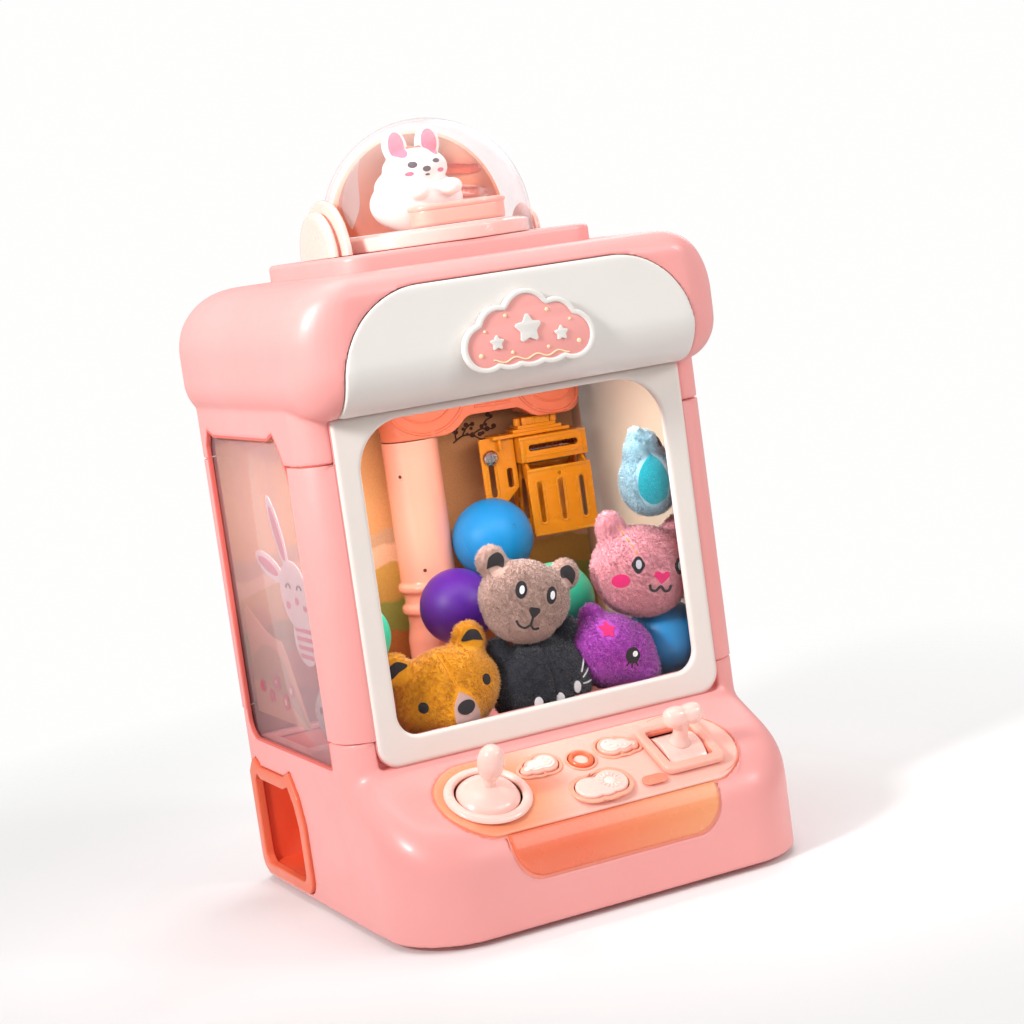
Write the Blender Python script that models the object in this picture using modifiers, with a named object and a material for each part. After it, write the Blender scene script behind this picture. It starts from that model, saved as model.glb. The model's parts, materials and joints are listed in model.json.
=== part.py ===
"""Desktop toy claw crane machine: casings, windows, swinging crane, claw, controls and prizes.

Frame: +X is the player's right, the front faces -Y, +Z is up, and the origin is on the table under
the middle of the machine. The pieces are drawn in millimetres from under the middle of the window
frame's face, scaled by MM, and moved onto the origin together at the end.
"""

import math

import bmesh
import bpy
from mathutils import Matrix, Vector

MM = 0.001
GAP = 0.3  # clearance between neighbouring pieces
MIDDLE_Y = 52.2  # the middle of the machine, back from the window frame's face
PAD_DEPTH = 2.0  # the table, below the drawing's zero

# Casings
HALF_WIDTH = 110.0
FRONT_Y = -55.0
CABIN_FRONT_Y = 1.5
BACK_Y = 158.0
WALL = 3.2
BASE_BOTTOM = 0.4
BASE_TOP = 91.5
PILLAR_TOP = 225.8
HEAD_TOP = 312.0
PLINTH_TOP = 320.3
CORNER_FRONT = 15.5
CORNER_REAR = 10.0

# Control deck
DECK_CREASE_Z = 74.7
DECK_SLOPE = math.radians(26.6)
DECK_ROW_Y = -29.3
DECK_PLAN_RADIUS = 38.0
DECK_EDGE_RADIUS = 16.0
CONTROL_X = 54.5
LEVER_X = 50.0
BUTTON_TRAVEL = 1.5

# Front frame and windows
FRAME_HALF = 94.4
FRAME_BOTTOM = 77.0
FRAME_TOP = 246.2
OPENING_HALF = 82.2
OPENING_BOTTOM = 90.4
OPENING_TOP = 242.0
SIDE_FRONT = 26.0
SIDE_REAR = 145.0
SILL = 76.6

# Head: its bulging block's half width, front and back, and where its fillets start and their radii
HEAD_HALF = 115.0
HEAD_FRONT = -25.5
HEAD_BACK = 160.0
HEAD_UNDER = 246.2
SIDE_FILLETS = ((266.0, 20.0), (280.0, 32.0))
FRONT_FILLETS = ((271.0, 25.0), (300.0, 12.0))
BACK_FILLETS = ((256.0, 12.0), (287.0, 25.0))
HEAD_PLAN_RADIUS = 27.0
HEAD_ROWS = (246.2, 247.2, 249.5, 253.0, 258.0, 264.0, 271.0, 280.0, 288.0, 295.0, 300.0, 304.0, 307.5, 310.0, 311.4, 312.0)
PLINTH = (69.0, 18.0, 133.0)

# Cabin
FLOOR_TOP = 77.0
CHUTE_HOLE = (-99.0, -57.0, 86.0, 138.0)
OUTLET = (76.0, 150.0, 3.5, 62.0)

# Crane
COLUMN = Vector((-3.0, 127.0, 0.0))
COLUMN_RADIUS = 15.3
COLUMN_TOP = 218.9
REST_ANGLE = math.radians(-8.0)
ARM_TOP = 246.0
CLAW_S = 76.5
JAW_HALF = 18.3
PIVOT_T = 4.0
PIVOT_Z = 203.0
LIFT = 20.0
SCREW_S = 42.6
SCREW_Z = 202.0
GEAR_Z = 40.0
GEAR_RADIUS = 24.0
PINION_RADIUS = 8.0

# Dome
DOME_CENTRE = Vector((0.0, 70.0, 330.7))
DOME_RADIUS = 53.0


def clear_scene():
    for obj in list(bpy.data.objects):
        bpy.data.objects.remove(obj, do_unlink=True)


clear_scene()
PARTS = bpy.data.collections.new("claw_crane_machine")
CUTTERS = bpy.data.collections.new("cutters")
bpy.context.scene.collection.children.link(PARTS)
bpy.context.scene.collection.children.link(CUTTERS)

FINISHES = {
    "pink_shell": ((0.93, 0.50, 0.46), 0.32, 0.0, 1.0),
    "coral": ((0.90, 0.33, 0.20), 0.35, 0.0, 1.0),
    "chute_red": ((0.72, 0.10, 0.05), 0.45, 0.0, 1.0),
    "cream": ((0.88, 0.84, 0.79), 0.35, 0.0, 1.0),
    "pale_pink": ((0.95, 0.66, 0.60), 0.30, 0.0, 1.0),
    "clear": ((0.95, 0.96, 0.97), 0.05, 0.0, 0.25),
    "smoke": ((0.75, 0.66, 0.66), 0.08, 0.0, 0.35),
    "claw_orange": ((0.85, 0.38, 0.03), 0.35, 0.0, 1.0),
    "card": ((0.70, 0.45, 0.25), 0.70, 0.0, 1.0),
    "steel": ((0.62, 0.62, 0.64), 0.25, 1.0, 1.0),
    "board_green": ((0.05, 0.25, 0.10), 0.50, 0.0, 1.0),
    "gear_white": ((0.85, 0.85, 0.82), 0.45, 0.0, 1.0),
    "figure_white": ((0.92, 0.90, 0.88), 0.45, 0.0, 1.0),
    "ball_blue": ((0.02, 0.42, 0.80), 0.20, 0.0, 1.0),
    "ball_teal": ((0.05, 0.60, 0.48), 0.20, 0.0, 1.0),
    "ball_purple": ((0.16, 0.06, 0.42), 0.20, 0.0, 1.0),
    "plush_grey": ((0.42, 0.30, 0.27), 0.90, 0.0, 1.0),
    "plush_orange": ((0.86, 0.42, 0.03), 0.90, 0.0, 1.0),
    "plush_black": ((0.04, 0.04, 0.05), 0.90, 0.0, 1.0),
    "plush_pink": ((0.88, 0.42, 0.48), 0.90, 0.0, 1.0),
    "plush_purple": ((0.45, 0.08, 0.52), 0.90, 0.0, 1.0),
    "plush_blue": ((0.20, 0.62, 0.72), 0.90, 0.0, 1.0),
    "plush_white": ((0.90, 0.88, 0.84), 0.90, 0.0, 1.0),
}


def material(name):
    """The Principled material of this finish, made on first use."""
    if name in bpy.data.materials:
        return bpy.data.materials[name]
    colour, roughness, metallic, alpha = FINISHES[name]
    made = bpy.data.materials.new(name)
    made.use_nodes = True
    shader = made.node_tree.nodes["Principled BSDF"]
    shader.inputs["Base Color"].default_value = (*colour, 1.0)
    shader.inputs["Roughness"].default_value = roughness
    shader.inputs["Metallic"].default_value = metallic
    shader.inputs["Alpha"].default_value = alpha
    return made


def add_object(name, bm, finish):
    """A new object in the parts collection, or in the cutters collection if it has no finish."""
    mesh = bpy.data.meshes.new(name)
    bm.to_mesh(mesh)
    bm.free()
    obj = bpy.data.objects.new(name, mesh)
    if finish is None:
        CUTTERS.objects.link(obj)
        obj.hide_render = True
        obj.display_type = "WIRE"
    else:
        PARTS.objects.link(obj)
        mesh.materials.append(material(finish))
    return obj


def smooth(obj, angle=35.0):
    obj.data.shade_smooth()
    obj.data.set_sharp_from_angle(angle=math.radians(angle))
    return obj


def box(name, x, y, z, finish=None):
    """A box between the ends given for each axis."""
    bm = bmesh.new()
    bmesh.ops.create_cube(bm, size=1.0)
    size = Vector((x[1] - x[0], y[1] - y[0], z[1] - z[0])) * MM
    middle = Vector((x[1] + x[0], y[1] + y[0], z[1] + z[0])) * MM / 2
    bmesh.ops.scale(bm, vec=size, verts=bm.verts)
    bmesh.ops.translate(bm, vec=middle, verts=bm.verts)
    return add_object(name, bm, finish)


def cylinder(name, radius, z, finish=None, sides=24, centre=(0.0, 0.0), top_radius=None):
    bm = bmesh.new()
    bmesh.ops.create_cone(
        bm,
        cap_ends=True,
        segments=sides,
        radius1=radius * MM,
        radius2=(radius if top_radius is None else top_radius) * MM,
        depth=(z[1] - z[0]) * MM,
    )
    middle = Vector((centre[0], centre[1], (z[0] + z[1]) / 2)) * MM
    bmesh.ops.translate(bm, vec=middle, verts=bm.verts)
    return add_object(name, bm, finish)


def ellipsoid(name, centre, radii, finish, detail=2):
    bm = bmesh.new()
    bmesh.ops.create_icosphere(bm, subdivisions=detail, radius=MM)
    bmesh.ops.scale(bm, vec=Vector(radii), verts=bm.verts)
    bmesh.ops.translate(bm, vec=Vector(centre) * MM, verts=bm.verts)
    return smooth(add_object(name, bm, finish))


def rounded(corners, steps=4):
    """An outline through (x, y, radius) corners, each rounded with an arc of that radius."""
    points = []
    count = len(corners)
    for i, (x, y, radius) in enumerate(corners):
        here = Vector((x, y))
        if radius <= 0:
            points.append(here)
            continue
        before = (Vector(corners[i - 1][:2]) - here).normalized()
        after = (Vector(corners[(i + 1) % count][:2]) - here).normalized()
        half = before.angle(after) / 2
        tangent = radius / math.tan(half)
        middle = here + (before + after).normalized() * (radius / math.sin(half))
        first = here + before * tangent - middle
        turn = (here + after * tangent - middle).angle_signed(first)
        points += [middle + Matrix.Rotation(turn * k / steps, 2) @ first for k in range(steps + 1)]
    return points


def rectangle(x0, x1, y0, y1, radius=0.0, steps=4):
    return rounded([(x0, y0, radius), (x1, y0, radius), (x1, y1, radius), (x0, y1, radius)], steps)


def circle(x, y, radius, sides=24):
    turn = 2 * math.pi / sides
    return [Vector((x + radius * math.cos(turn * k), y + radius * math.sin(turn * k))) for k in range(sides)]


def discs_outline(discs, middle, sides=48):
    """The outer edge of overlapping discs (x, y, radius), as seen from a point inside them all."""
    points = []
    for k in range(sides):
        way = Vector((math.cos(2 * math.pi * k / sides), math.sin(2 * math.pi * k / sides)))
        reach = 0.0
        for x, y, radius in discs:
            to = Vector((x, y)) - Vector(middle)
            along = to.dot(way)
            inside = radius**2 - (to.length_squared - along**2)
            if inside > 0:
                reach = max(reach, along + math.sqrt(inside))
        points.append(Vector(middle) + way * reach)
    return points


def prism(name, loops, depth, finish=None, frame=None):
    """A flat outline, with any holes after it, filled and given a depth range along its normal."""
    curve = bpy.data.curves.new(name, "CURVE")
    curve.dimensions = "2D"
    curve.fill_mode = "BOTH"
    curve.extrude = (depth[1] - depth[0]) / 2 * MM
    for loop in loops:
        spline = curve.splines.new("POLY")
        spline.points.add(len(loop) - 1)
        for point, at in zip(spline.points, loop):
            point.co = (at[0] * MM, at[1] * MM, 0.0, 1.0)
        spline.use_cyclic_u = True
    outline = bpy.data.objects.new(name, curve)
    CUTTERS.objects.link(outline)
    lift = Matrix.Translation((0.0, 0.0, (depth[0] + depth[1]) / 2 * MM))
    outline.matrix_world = (frame or Matrix()) @ lift
    bpy.context.view_layer.update()
    graph = bpy.context.evaluated_depsgraph_get()
    mesh = bpy.data.meshes.new_from_object(outline.evaluated_get(graph))
    bm = bmesh.new()
    bm.from_mesh(mesh)
    bmesh.ops.remove_doubles(bm, verts=bm.verts, dist=1e-6)
    bmesh.ops.recalc_face_normals(bm, faces=bm.faces)
    bm.transform(outline.matrix_world)
    bpy.data.objects.remove(outline, do_unlink=True)
    bpy.data.meshes.remove(mesh)
    return add_object(name, bm, finish)


def turned(name, profile, finish=None, steps=32, frame=None):
    """A profile of (radius, height), from the top down its outer side, turned about its Z axis."""
    bm = bmesh.new()
    verts = [bm.verts.new((radius * MM, 0.0, height * MM)) for radius, height in profile]
    for first, second in zip(verts, verts[1:]):
        bm.edges.new((first, second))
    if profile[0][0] > 0 and profile[-1][0] > 0:
        bm.edges.new((verts[-1], verts[0]))
    obj = add_object(name, bm, finish)
    screw = obj.modifiers.new("turn", "SCREW")
    screw.axis = "Z"
    screw.steps = steps
    screw.render_steps = steps
    screw.use_merge_vertices = True
    screw.merge_threshold = 1e-6
    screw.use_smooth_shade = True
    if frame is not None:
        obj.matrix_world = frame
    return obj


def boolean(obj, other, operation="DIFFERENCE"):
    modifier = obj.modifiers.new(operation.lower(), "BOOLEAN")
    modifier.operation = operation
    modifier.solver = "EXACT"
    modifier.object = other
    return obj


def cut(obj, *cutters):
    for cutter in cutters:
        boolean(obj, cutter)
    return obj


def join(obj, *others):
    for other in others:
        boolean(obj, other, "UNION")
    return obj


def bevel_edges(bm, wanted, radius, segments):
    edges = [edge for edge in bm.edges if wanted(*(vert.co / MM for vert in edge.verts))]
    bmesh.ops.bevel(
        bm,
        geom=edges,
        offset=radius * MM,
        segments=segments,
        profile=0.5,
        affect="EDGES",
        clamp_overlap=True,
    )


def upright(x0, x1, y0, y1, front, rear, steps=5):
    """The cabin's plan: a rectangle with round front and rear corners."""
    return rounded([(x0, y0, front), (x1, y0, front), (x1, y1, rear), (x0, y1, rear)], steps)


# Local frames: outlines drawn as (x, z) seen from the front, (y, z) from the right, and the deck.
FROM_FRONT = Matrix.Rotation(math.radians(90), 4, "X")
FROM_RIGHT = Matrix.Rotation(math.radians(90), 4, "Z") @ Matrix.Rotation(math.radians(90), 4, "X")


def deck_frame(x=0.0, up=0.0):
    """Local X along the deck, Y up its slope and Z out of it, from a point in the control row."""
    origin = Vector((x, DECK_ROW_Y, DECK_CREASE_Z + DECK_ROW_Y * math.tan(DECK_SLOPE))) * MM
    frame = Matrix.Translation(origin) @ Matrix.Rotation(DECK_SLOPE, 4, "X")
    return frame @ Matrix.Translation((0.0, up * MM, 0.0))


def deck_block(name, grow, finish=None, bottom=BASE_BOTTOM):
    """The sloping front block of the base, with each face moved outwards by grow."""
    bm = bmesh.new()
    bmesh.ops.create_cube(bm, size=1.0)
    back = 20.0
    lift = grow / math.cos(DECK_SLOPE)
    for vert in bm.verts:
        x = math.copysign(HALF_WIDTH + grow, vert.co.x)
        y = FRONT_Y - grow if vert.co.y < 0 else back
        top = DECK_CREASE_Z + y * math.tan(DECK_SLOPE) + lift
        z = top if vert.co.z > 0 else bottom
        vert.co = Vector((x, y, z)) * MM
    front = FRONT_Y - grow
    bevel_edges(
        bm,
        lambda a, b: abs(a.y - front) < 0.1 and abs(b.y - front) < 0.1 and abs(a.x - b.x) < 0.1,
        DECK_PLAN_RADIUS + grow,
        6,
    )
    bevel_edges(
        bm,
        lambda a, b: min(a.z, b.z) > 30 and min(a.y, b.y) < back - 0.1,
        DECK_EDGE_RADIUS + grow,
        4,
    )
    return smooth(add_object(name, bm, finish))


def panel_outline(grow=0.0):
    """The control panel's outline: two round lobes, the strip between them, and the front tongue."""
    lobe = 25.0 + grow
    tongue = 56.0 + grow
    row = 27.4
    foot = -18.9 - grow
    left = [
        Vector((-CONTROL_X + lobe * math.cos(a), row + lobe * math.sin(a)))
        for a in [math.radians(90 + 18 * k) for k in range(10)]
    ]
    start = math.sqrt(lobe**2 - (tongue - CONTROL_X) ** 2)
    left = [p for p in left if p.y > row - start + 0.5 or p.x < -tongue]
    waist = row - start
    corners = [(-tongue, waist, 0.0), (-tongue, foot, 15.0), (tongue, foot, 15.0), (tongue, waist, 0.0)]
    right = [Vector((-p.x, p.y)) for p in reversed(left)]
    return left + rounded(corners, 4) + right


def panel_frame():
    """Drawn square to a line half-way between the deck's normal and the front's."""
    tilt = math.radians(50)
    return Matrix.Rotation(tilt, 4, "X")


def base_shell():
    body = prism(
        "base_shell",
        [upright(-HALF_WIDTH, HALF_WIDTH, CABIN_FRONT_Y, BACK_Y, CORNER_FRONT, CORNER_REAR)],
        (BASE_BOTTOM, BASE_TOP),
        "pink_shell",
    )
    inner = HALF_WIDTH - WALL
    join(body, deck_block("deck_outer", 0.0))
    plan = upright(-inner, inner, 9.5, BACK_Y - WALL, 8.0, CORNER_REAR - WALL)
    deck_hollow = deck_block("deck_hollow", -WALL, None, -10.0)
    cut(
        body,
        prism("cabin_hollow", [plan], (-5.0, BASE_TOP + 5)),
        deck_hollow,
        box("frame_pocket", (-FRAME_HALF - GAP, FRAME_HALF + GAP), (-5, 6.1), (FRAME_BOTTOM - GAP, 120)),
        box("sill_opening", (-87, 87), (0, 15), (89.6, 120)),
        side_opening("sill_cut"),
        prism("panel_hole", [panel_outline(GAP)], (35, 90), None, panel_frame()),
        prism("outlet_hole", [outlet_outline(GAP)], (-HALF_WIDTH - 5, -HALF_WIDTH + 8), None, FROM_RIGHT),
        box("socket_hole", (59, 71), (BACK_Y - 6, BACK_Y + 5), (9.5, 18.5)),
    )
    return body


def side_opening(name):
    """Both side windows' openings: rounded at the foot, with a pair of small peaks at the head."""
    ear = 3.2
    head = 238.5
    outline = rounded(
        [
            (SIDE_FRONT, SILL, 3.0),
            (SIDE_REAR, SILL, 11.0),
            (SIDE_REAR, head - 6, 4.0),
            (SIDE_REAR - 5, head + ear, 1.5),
            (SIDE_REAR - 14, head, 2.0),
            (SIDE_FRONT + 24, head, 2.0),
            (SIDE_FRONT + 15, head + ear, 1.5),
            (SIDE_FRONT + 7, head - 7, 6.0),
            (SIDE_FRONT, head - 22, 12.0),
        ],
        3,
    )
    return prism(name, [outline], (-HALF_WIDTH - 10, HALF_WIDTH + 10), None, FROM_RIGHT)


def outlet_outline(grow=0.0):
    """The prize outlet: a rounded opening with two small peaks on its top edge."""
    front, rear, foot, head = OUTLET
    ear = 4.0
    front, rear, foot, head = front - grow, rear + grow, foot - grow, head + grow
    return rounded(
        [
            (front, foot, 9.0),
            (rear, foot, 9.0),
            (rear, head - 4, 3.0),
            (rear - 7, head + ear, 2.0),
            (rear - 15, head, 3.0),
            (front + 24, head, 3.0),
            (front + 14, head + ear, 2.0),
            (front + 5, head - 8, 6.0),
            (front, head - 22, 8.0),
        ],
        3,
    )


def base_plate():
    inset = WALL + GAP
    plan = upright(
        -HALF_WIDTH + inset,
        HALF_WIDTH - inset,
        FRONT_Y + inset,
        BACK_Y - inset,
        DECK_PLAN_RADIUS - inset,
        CORNER_REAR - inset,
    )
    plate = prism("base_plate", [plan], (BASE_BOTTOM + 0.2, BASE_BOTTOM + 2.6), "pale_pink")
    pads = []
    for x in (-85, 85):
        for y in (-30, 135):
            pads.append(cylinder(f"pad_{x}_{y}", 9.0, (-PAD_DEPTH, BASE_BOTTOM + 1.0), None, 16, (x, y)))
    return join(plate, *pads)


def control_panel():
    panel = deck_block("control_panel", 0.6, "coral")
    boolean(panel, prism("panel_blank", [panel_outline()], (35, 90), None, panel_frame()), "INTERSECT")
    cut(panel, deck_block("panel_under", -2.4, None, -10.0))
    cut(panel, cylinder_on_deck("stick_hole", 17.0, (-8, 8), -CONTROL_X, 0.0))
    slot = rectangle(-11.5, 11.5, -15.2, 15.2, 3.0, 2)
    cut(panel, prism("lever_hole", [slot], (-8, 8), None, deck_frame(LEVER_X)))
    for name, (x, up, outline) in button_outlines(0.4).items():
        cut(panel, prism(f"{name}_hole", [outline], (-8, 8), None, deck_frame(x, up)))
    return panel


def cylinder_on_deck(name, radius, depth, x, up, finish=None, sides=24):
    return prism(name, [circle(0, 0, radius, sides)], depth, finish, deck_frame(x, up))


def button_outlines(grow=0.0):
    """Each button's place along and up the deck, and its outline."""
    wing = [(-3.5, 1.0, 6.5 + grow), (2.5, 0.0, 5.5 + grow), (7.5, -1.5, 3.2 + grow)]
    cloud = [(-6.5, -0.8, 7.4 + grow), (5.5, 0.4, 8.2 + grow), (0.0, -1.4, 7.2 + grow)]
    right = discs_outline(wing, (0.0, 0.0), 20)
    left = [Vector((-p.x, p.y)) for p in reversed(right)]
    return {
        "button_left": (-21.5, 11.0, left),
        "button_right": (21.5, 11.0, right),
        "button_centre": (0.0, 8.5, circle(0, 0, 6.2 + grow, 20)),
        "button_cloud": (0.0, -12.5, discs_outline(cloud, (0.0, 0.0), 24)),
    }


def buttons():
    for name, (x, up, outline) in button_outlines().items():
        finish = "coral" if name == "button_centre" else "pale_pink"
        prism(name, [outline], (-4.5, 2.6), finish, deck_frame(x, up))


def joystick():
    """A fixed collar, a gimbal ring that tilts fore and aft, and the stick that tilts side to side."""
    collar = [(17.0, 3.2), (20.5, 2.6), (21.5, 0.9), (16.4, 0.9), (16.4, 2.4)]
    turned("joystick_collar", collar, "pale_pink", 28, deck_frame(-CONTROL_X))
    gimbal = [(11.5, -6.5), (11.5, -9.5), (9.0, -9.5), (9.0, -6.5)]
    turned("joystick_gimbal", gimbal, "gear_white", 20, deck_frame(-CONTROL_X))
    stick = [
        (0.0, 30.0), (3.4, 29.0), (5.6, 26.0), (6.6, 22.0), (6.3, 17.5), (4.6, 13.5), (2.9, 11.5),
        (2.9, 7.5), (9.0, 6.3), (13.6, 3.6), (15.4, 1.2), (15.4, 0.4), (12.0, -1.0), (4.0, -2.0),
        (4.0, -13.0), (0.0, -13.0),
    ]
    turned("joystick", stick, "pale_pink", 20, deck_frame(-CONTROL_X))


def lever():
    """A square bezel round a rocking saddle whose short stem carries a cross handle."""
    outer = rectangle(-17.0, 17.0, -18.5, 17.0, 4.5, 3)
    inner = rectangle(-12.2, 12.2, -13.2, 13.2, 2.5, 2)
    prism("lever_bezel", [outer, inner], (0.9, 4.6), "pale_pink", deck_frame(LEVER_X))
    radius = 17.0
    arc = [
        (radius * math.sin(a), radius * math.cos(a) - 12.0)
        for a in [math.radians(-42 + 84 * k / 8) for k in range(9)]
    ]
    saddle = [Vector(p) for p in arc] + [Vector((5.0, -9.0)), Vector((-5.0, -9.0))]
    frame = deck_frame(LEVER_X)
    across = frame @ FROM_RIGHT
    handle = prism("lever_handle", [saddle], (-10.6, 10.6), "pale_pink", across)
    stem = turned("lever_stem", [(0.0, 19.0), (3.6, 19.0), (3.9, 8.0), (5.6, 3.5), (0.0, 3.5)], None, 16, frame)
    grip_frame = frame @ Matrix.Translation((0.0, 0.0, 20.5 * MM)) @ Matrix.Rotation(math.pi / 2, 4, "Y")
    grip = [(0.0, 10.4), (3.4, 9.6), (5.2, 6.8), (5.4, 3.0), (4.8, 0.0), (5.4, -3.0), (5.2, -6.8), (3.4, -9.6), (0.0, -10.4)]
    join(handle, stem, turned("lever_grip", grip, None, 16, grip_frame))
    return handle


def outlet_and_chute():
    front, rear, foot, head = OUTLET
    inner = [Vector(p) for p in rounded(
        [
            (front + 7.5, foot + 5.5, 6.0),
            (rear - 7.0, foot + 5.5, 6.0),
            (rear - 7.0, head - 8, 3.0),
            (rear - 10.5, head - 4, 1.5),
            (rear - 16, head - 6.5, 2.0),
            (front + 25, head - 6.5, 2.0),
            (front + 17, head - 4, 1.5),
            (front + 11, head - 13, 5.0),
            (front + 7.5, head - 24, 6.0),
        ],
        3,
    )]
    depth = (-HALF_WIDTH - 1.6, -HALF_WIDTH + WALL)
    prism("outlet_frame", [outlet_outline(), inner], depth, "coral", FROM_RIGHT)
    x0, x1, y0, y1 = CHUTE_HOLE
    left = -HALF_WIDTH + WALL + GAP
    chute = box("prize_chute", (left, x1 + 3), (front + 4, rear - 3), (foot + 2.5, 73.8), "chute_red")
    ramp = [
        Vector((left - 5, foot + 5.0)),
        Vector((left + 12, foot + 5.0)),
        Vector((x1, 38.0)),
        Vector((x1, 64.0)),
        Vector((left - 5, 64.0)),
    ]
    cut(
        chute,
        prism("chute_ramp", [ramp], (-rear + 5.2, -front - 6.2), None, FROM_FRONT),
        box("chute_mouth", (x0, x1), (y0, y1), (45, 90)),
    )
    cut(chute, box("chute_window_step", (-120, -104.7), (60, 160), (70.6, 90)))
    return chute


def cabin_floor():
    inner = HALF_WIDTH - 5.6
    plan = upright(-inner, inner, 9.8, 144.2, 8.0, 0.0)
    floor = prism("cabin_floor", [plan], (FLOOR_TOP - 2.4, FLOOR_TOP), "pink_shell")
    x0, x1, y0, y1 = CHUTE_HOLE
    cut(
        floor,
        box("floor_chute_hole", (x0, x1), (y0, y1), (60, 90)),
        cylinder("floor_shaft_hole", 6.0, (60, 90), None, 16, COLUMN[:2]),
    )
    return floor


def front_pillar(name, side):
    outline = rounded(
        [
            (FRAME_HALF + GAP, CABIN_FRONT_Y, 0.0),
            (HALF_WIDTH, CABIN_FRONT_Y, CORNER_FRONT),
            (HALF_WIDTH, SIDE_FRONT, 0.0),
            (HALF_WIDTH - WALL, SIDE_FRONT, 0.0),
            (HALF_WIDTH - WALL, 18.0, 0.0),
            (100.0, 9.4, 0.0),
            (87.0, 9.4, 0.0),
            (87.0, 6.1, 0.0),
            (FRAME_HALF + GAP, 6.1, 0.0),
        ],
        5,
    )
    outline = [Vector((side * p.x, p.y)) for p in outline]
    pillar = prism(name, [outline], (BASE_TOP + GAP, PILLAR_TOP - GAP), "pink_shell")
    if side < 0:
        return cut(pillar, side_opening(f"{name}_cut"))
    return cut(pillar, side_opening(f"{name}_cut"))


def rear_housing():
    outer = rounded(
        [
            (-HALF_WIDTH, SIDE_REAR, 0.0),
            (-HALF_WIDTH, BACK_Y, CORNER_REAR),
            (HALF_WIDTH, BACK_Y, CORNER_REAR),
            (HALF_WIDTH, SIDE_REAR, 0.0),
            (HALF_WIDTH - WALL, SIDE_REAR, 0.0),
            (HALF_WIDTH - WALL, BACK_Y - WALL, CORNER_REAR - WALL),
            (-HALF_WIDTH + WALL, BACK_Y - WALL, CORNER_REAR - WALL),
            (-HALF_WIDTH + WALL, SIDE_REAR, 0.0),
        ],
        5,
    )
    return prism("rear_housing", [outer], (BASE_TOP + GAP, PILLAR_TOP - GAP), "pink_shell")


def fillet_inset(z, fillets):
    """How far a wall stands in at this height, from its lower and upper fillets (start, radius)."""
    (low, low_radius), (high, high_radius) = fillets
    past, radius = (low - z, low_radius) if z < low else (z - high, high_radius)
    past = min(max(past, 0.0), radius)
    return radius - math.sqrt(radius**2 - past**2)


def head_block(name, grow, finish=None):
    """The head's bulging block, overhanging the cabin's front, with each face moved outwards by grow."""
    bm = bmesh.new()
    middle = (HEAD_UNDER + HEAD_TOP) / 2
    stretch = 1 + grow / (HEAD_TOP - middle)
    rows = []
    for z in HEAD_ROWS:
        side = fillet_inset(z, SIDE_FILLETS)
        front = fillet_inset(z, FRONT_FILLETS)
        back = fillet_inset(z, BACK_FILLETS)
        half = HEAD_HALF + grow - side
        radius = max(HEAD_PLAN_RADIUS - 0.6 * (side + front), 4.0) + grow
        rear = max(14.0 - 0.3 * (side + back), 4.0) + grow
        outline = upright(-half, half, HEAD_FRONT - grow + front, HEAD_BACK + grow - back, radius, rear, 4)
        height = middle + (z - middle) * stretch
        rows.append([bm.verts.new(Vector((p.x, p.y, height)) * MM) for p in outline])
    count = len(rows[0])
    for low, high in zip(rows, rows[1:]):
        for k in range(count):
            n = (k + 1) % count
            bm.faces.new((low[k], low[n], high[n], high[k]))
    bm.faces.new(reversed(rows[0]))
    bm.faces.new(rows[-1])
    bmesh.ops.recalc_face_normals(bm, faces=bm.faces)
    return smooth(add_object(name, bm, finish))


def marquee_outline(grow=0.0):
    half = 93.0 + grow
    head = 303.5 + grow
    foot = FRAME_TOP + GAP - grow
    return rounded([(-half, foot, 3.0), (half, foot, 3.0), (half, head, 42.0), (-half, head, 42.0)], 6)


def head_shell():
    head = prism(
        "head_shell",
        [upright(-HALF_WIDTH, HALF_WIDTH, CABIN_FRONT_Y, BACK_Y, CORNER_FRONT, CORNER_REAR)],
        (PILLAR_TOP, 262.0),
        "pink_shell",
    )
    plinth = prism(
        "plinth",
        [rectangle(-PLINTH[0], PLINTH[0], PLINTH[1], PLINTH[2], 12.0, 3)],
        (HEAD_TOP - 10, PLINTH_TOP),
    )
    join(head, head_block("head_outer", 0.0), plinth)
    inner = HALF_WIDTH - WALL
    plan = upright(-inner, inner, 9.5, BACK_Y - WALL, 8.0, CORNER_REAR - WALL)
    cut(
        head,
        prism("head_hollow_low", [plan], (PILLAR_TOP - 5, 275.0)),
        box("head_hollow_top", (-92, 92), (0, 140), (260, 305)),
        box("head_opening", (-87, 87), (0, 15), (200, 244)),
        box("head_pocket", (-FRAME_HALF - GAP, FRAME_HALF + GAP), (-5, 6.1), (200, FRAME_TOP + GAP)),
        side_opening("head_sill_cut"),
        prism("marquee_hole", [marquee_outline(GAP)], (0.0, 40.0), None, FROM_FRONT),
    )
    return head


def marquee():
    """The sign panel that follows the head's rounded front, with a raised cloud badge on it."""
    panel = head_block("marquee_panel", 0.5, "cream")
    blank = prism("marquee_blank", [marquee_outline()], (0.6, 40.0), None, FROM_FRONT)
    boolean(panel, blank, "INTERSECT")
    cut(panel, head_block("marquee_back", -2.4))
    cloud = [(0.0, 281.0, 13.5), (-15.0, 277.0, 11.5), (15.0, 277.0, 11.5)]
    cloud += [(-23.0, 269.5, 12.0), (23.0, 269.5, 12.0), (0.0, 272.0, 14.8), (-11.0, 270.0, 12.6), (11.0, 270.0, 12.6)]
    outline = discs_outline(cloud, (0.0, 273.0), 44)
    prism("badge", [outline], (-HEAD_FRONT + 0.8, -HEAD_FRONT + 4.2), "cream", FROM_FRONT)
    return panel


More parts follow.
